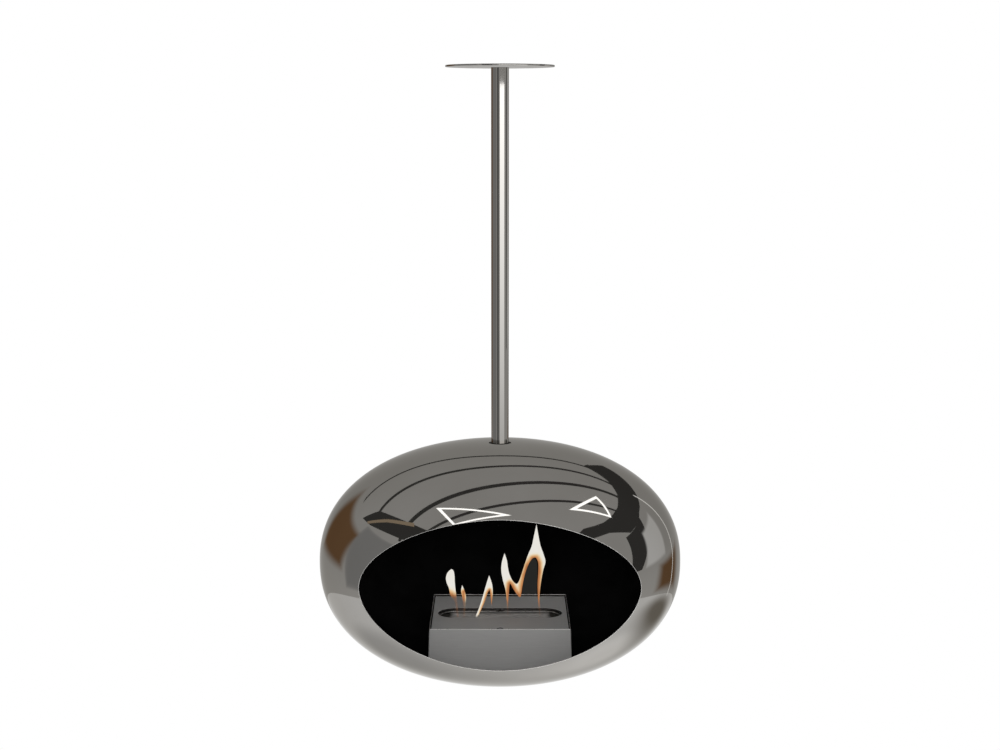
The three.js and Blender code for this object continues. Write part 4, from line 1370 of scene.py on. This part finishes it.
FLOOR_PATCHES = {  # middle, radius, height over the floor, light
    "studio_floor_left": ((-1.0, 0.9), 1.3, 0.02, emitter("studio_shade", 0.7, soft=True)),
    "studio_floor_right": ((0.95, 0.7), 1.0, 0.04, emitter("studio_glow", 1.3, soft=True)),
    "studio_floor_back": ((2.4, 1.9), 1.7, 0.06, emitter("studio_rug", 0.3, (1.0, 0.92, 0.8), soft=True)),
}
PATCH_SHARES = (1, 0.75, 0.5, 0.25)  # its rings' radii
PATCH_POINTS = 48
PATCH_COVER = 1.3  # what the cover of a patch would grow to in its middle
CARD_STEPS = 24


def make_room():
    """Round wall and ceiling, softly lit."""
    skin = Skin()
    around = circle(ROOM_RADIUS, 0, 0, 96)
    loops = [skin.loop((x, y, z) for x, y in around) for z in (FLOOR_LEVEL, ROOM_HEIGHT)]
    skin.bands(loops)
    skin.face(loops[1])
    light = height_light("studio_room", (FLOOR_LEVEL, WALL_TURN), (FLOOR_TONE, CEILING_TONE), ROOM_COLOUR)
    only_mirrored(skin.build("studio_room", light))


def ceiling_card(name, corners, layer, material):
    skin = Skin()
    skin.face(skin.loop((x, y, ROOM_HEIGHT - layer * LAYER) for x, y in corners))
    only_mirrored(skin.build(name, material))


def light_frame(name, corners, width, layer, material):
    """A three-sided ring of light, as wide all round."""
    a, b, c = (Vector(corner) for corner in corners)
    sides = ((b - c).length, (c - a).length, (a - b).length)
    middle = (a * sides[0] + b * sides[1] + c * sides[2]) / sum(sides)
    inner_radius = (b - a).cross(c - a) / sum(sides)
    z = ROOM_HEIGHT - layer * LAYER
    skin = Skin()
    loops = [
        skin.loop((*(middle + (corner - middle) * share), z) for corner in (a, b, c))
        for share in (1, 1 - width / inner_radius)
    ]
    skin.bands(loops)
    only_mirrored(skin.build(name, material))


def floor_patch(name, middle, radius, lift, material):
    """A patch just over the floor that fades out towards its rim."""
    skin = Skin()
    level = FLOOR_LEVEL + lift
    rings = [circle(radius * share, *middle, PATCH_POINTS) for share in PATCH_SHARES]
    loops = [skin.loop((x, y, level) for x, y in ring) for ring in rings]
    skin.bands(loops)
    skin.face(loops[-1])
    card = skin.build(name, material)
    mark(card, "cover", [PATCH_COVER * (1 - share) for share in PATCH_SHARES for _ in range(PATCH_POINTS)])
    only_mirrored(card)


def wall_card(name, foot, head, distance, heights, material, soft):
    """A curved card round the object, where 0 degrees is in front of it and 90 to its right.

    soft is the share of its width and height over which each edge fades out.
    """
    skin = Skin()
    shares = [i / CARD_STEPS for i in range(CARD_STEPS + 1)]
    loops, cover = [], []
    for up in shares:
        start, end = (low + (high - low) * up for low, high in zip(foot, head))
        level = heights[0] + (heights[1] - heights[0]) * up
        turns = [radians(start + (end - start) * share) for share in shares]
        loops.append(skin.loop((distance * sin(t), -distance * cos(t), level) for t in turns))
        cover += [min(1, min(up, 1 - up, share, 1 - share) / soft) if soft else 1 for share in shares]
    skin.bands(loops, closed=False)
    card = skin.build(name, material)
    mark(card, "cover", cover)
    only_mirrored(card)


def make_cards():
    """A few darker and brighter shapes in the room, as large ones stand in the photograph's bowl."""
    left, right = RAIL_ENDS
    for number, (middle, slope, width) in enumerate(RAILS, 1):
        ends = [(left, 0), (right, 0), (right, width), (left, width)]
        corners = [(x, middle + slope * x + side) for x, side in ends]
        ceiling_card(f"studio_rail_{number}", corners, 1, DARK)
    ceiling_card("studio_beam_right", BEAM_RIGHT, 2, DARK)
    ceiling_card("studio_beam_left", BEAM_LEFT, 2, DARK)
    ceiling_card("studio_batten_left", BATTEN_LEFT, 3, emitter("studio_batten", 0.42, (1.0, 0.78, 0.55)))
    tube = emitter("studio_tube", 3.2)
    for name, (corners, width) in LIGHT_FRAMES.items():
        light_frame(name, corners, width, 4, tube)
    for name, card in WALL_CARDS.items():
        wall_card(name, *card)
    for name, patch in FLOOR_PATCHES.items():
        floor_patch(name, *patch)


OBJECT_MIDDLE = (0, 0, -0.75)
LAMPS = {  # place, size, watts and the place each is turned to
    "front": ((0, -3.0, 0.2), (1.6, 0.8), 38, OBJECT_MIDDLE),
    "left": ((-1.9, -2.5, 0.5), (1.4, 1.0), 12, OBJECT_MIDDLE),
    "right": ((2.2, -2.2, 0.5), (1.4, 1.0), 8, OBJECT_MIDDLE),
    "chamber": ((0, 0.13, -0.69), (0.3, 0.06), 0.12, (0, 0.06, -0.87)),
}


def make_lamp(name, place, size, power, aim):
    data = bpy.data.lights.new(name, "AREA")
    data.shape = "RECTANGLE"
    data.size, data.size_y = size
    data.energy = power
    lamp = add_object(name, data)
    lamp.location = place
    lamp.rotation_euler = (Vector(aim) - Vector(place)).to_track_quat("-Z", "Y").to_euler()
    lamp.visible_glossy = False
    lamp.visible_camera = False


make_world()
make_floor()
make_room()
make_cards()
for name, lamp in LAMPS.items():
    make_lamp(name, *lamp)

scene.view_settings.view_transform = "Standard"
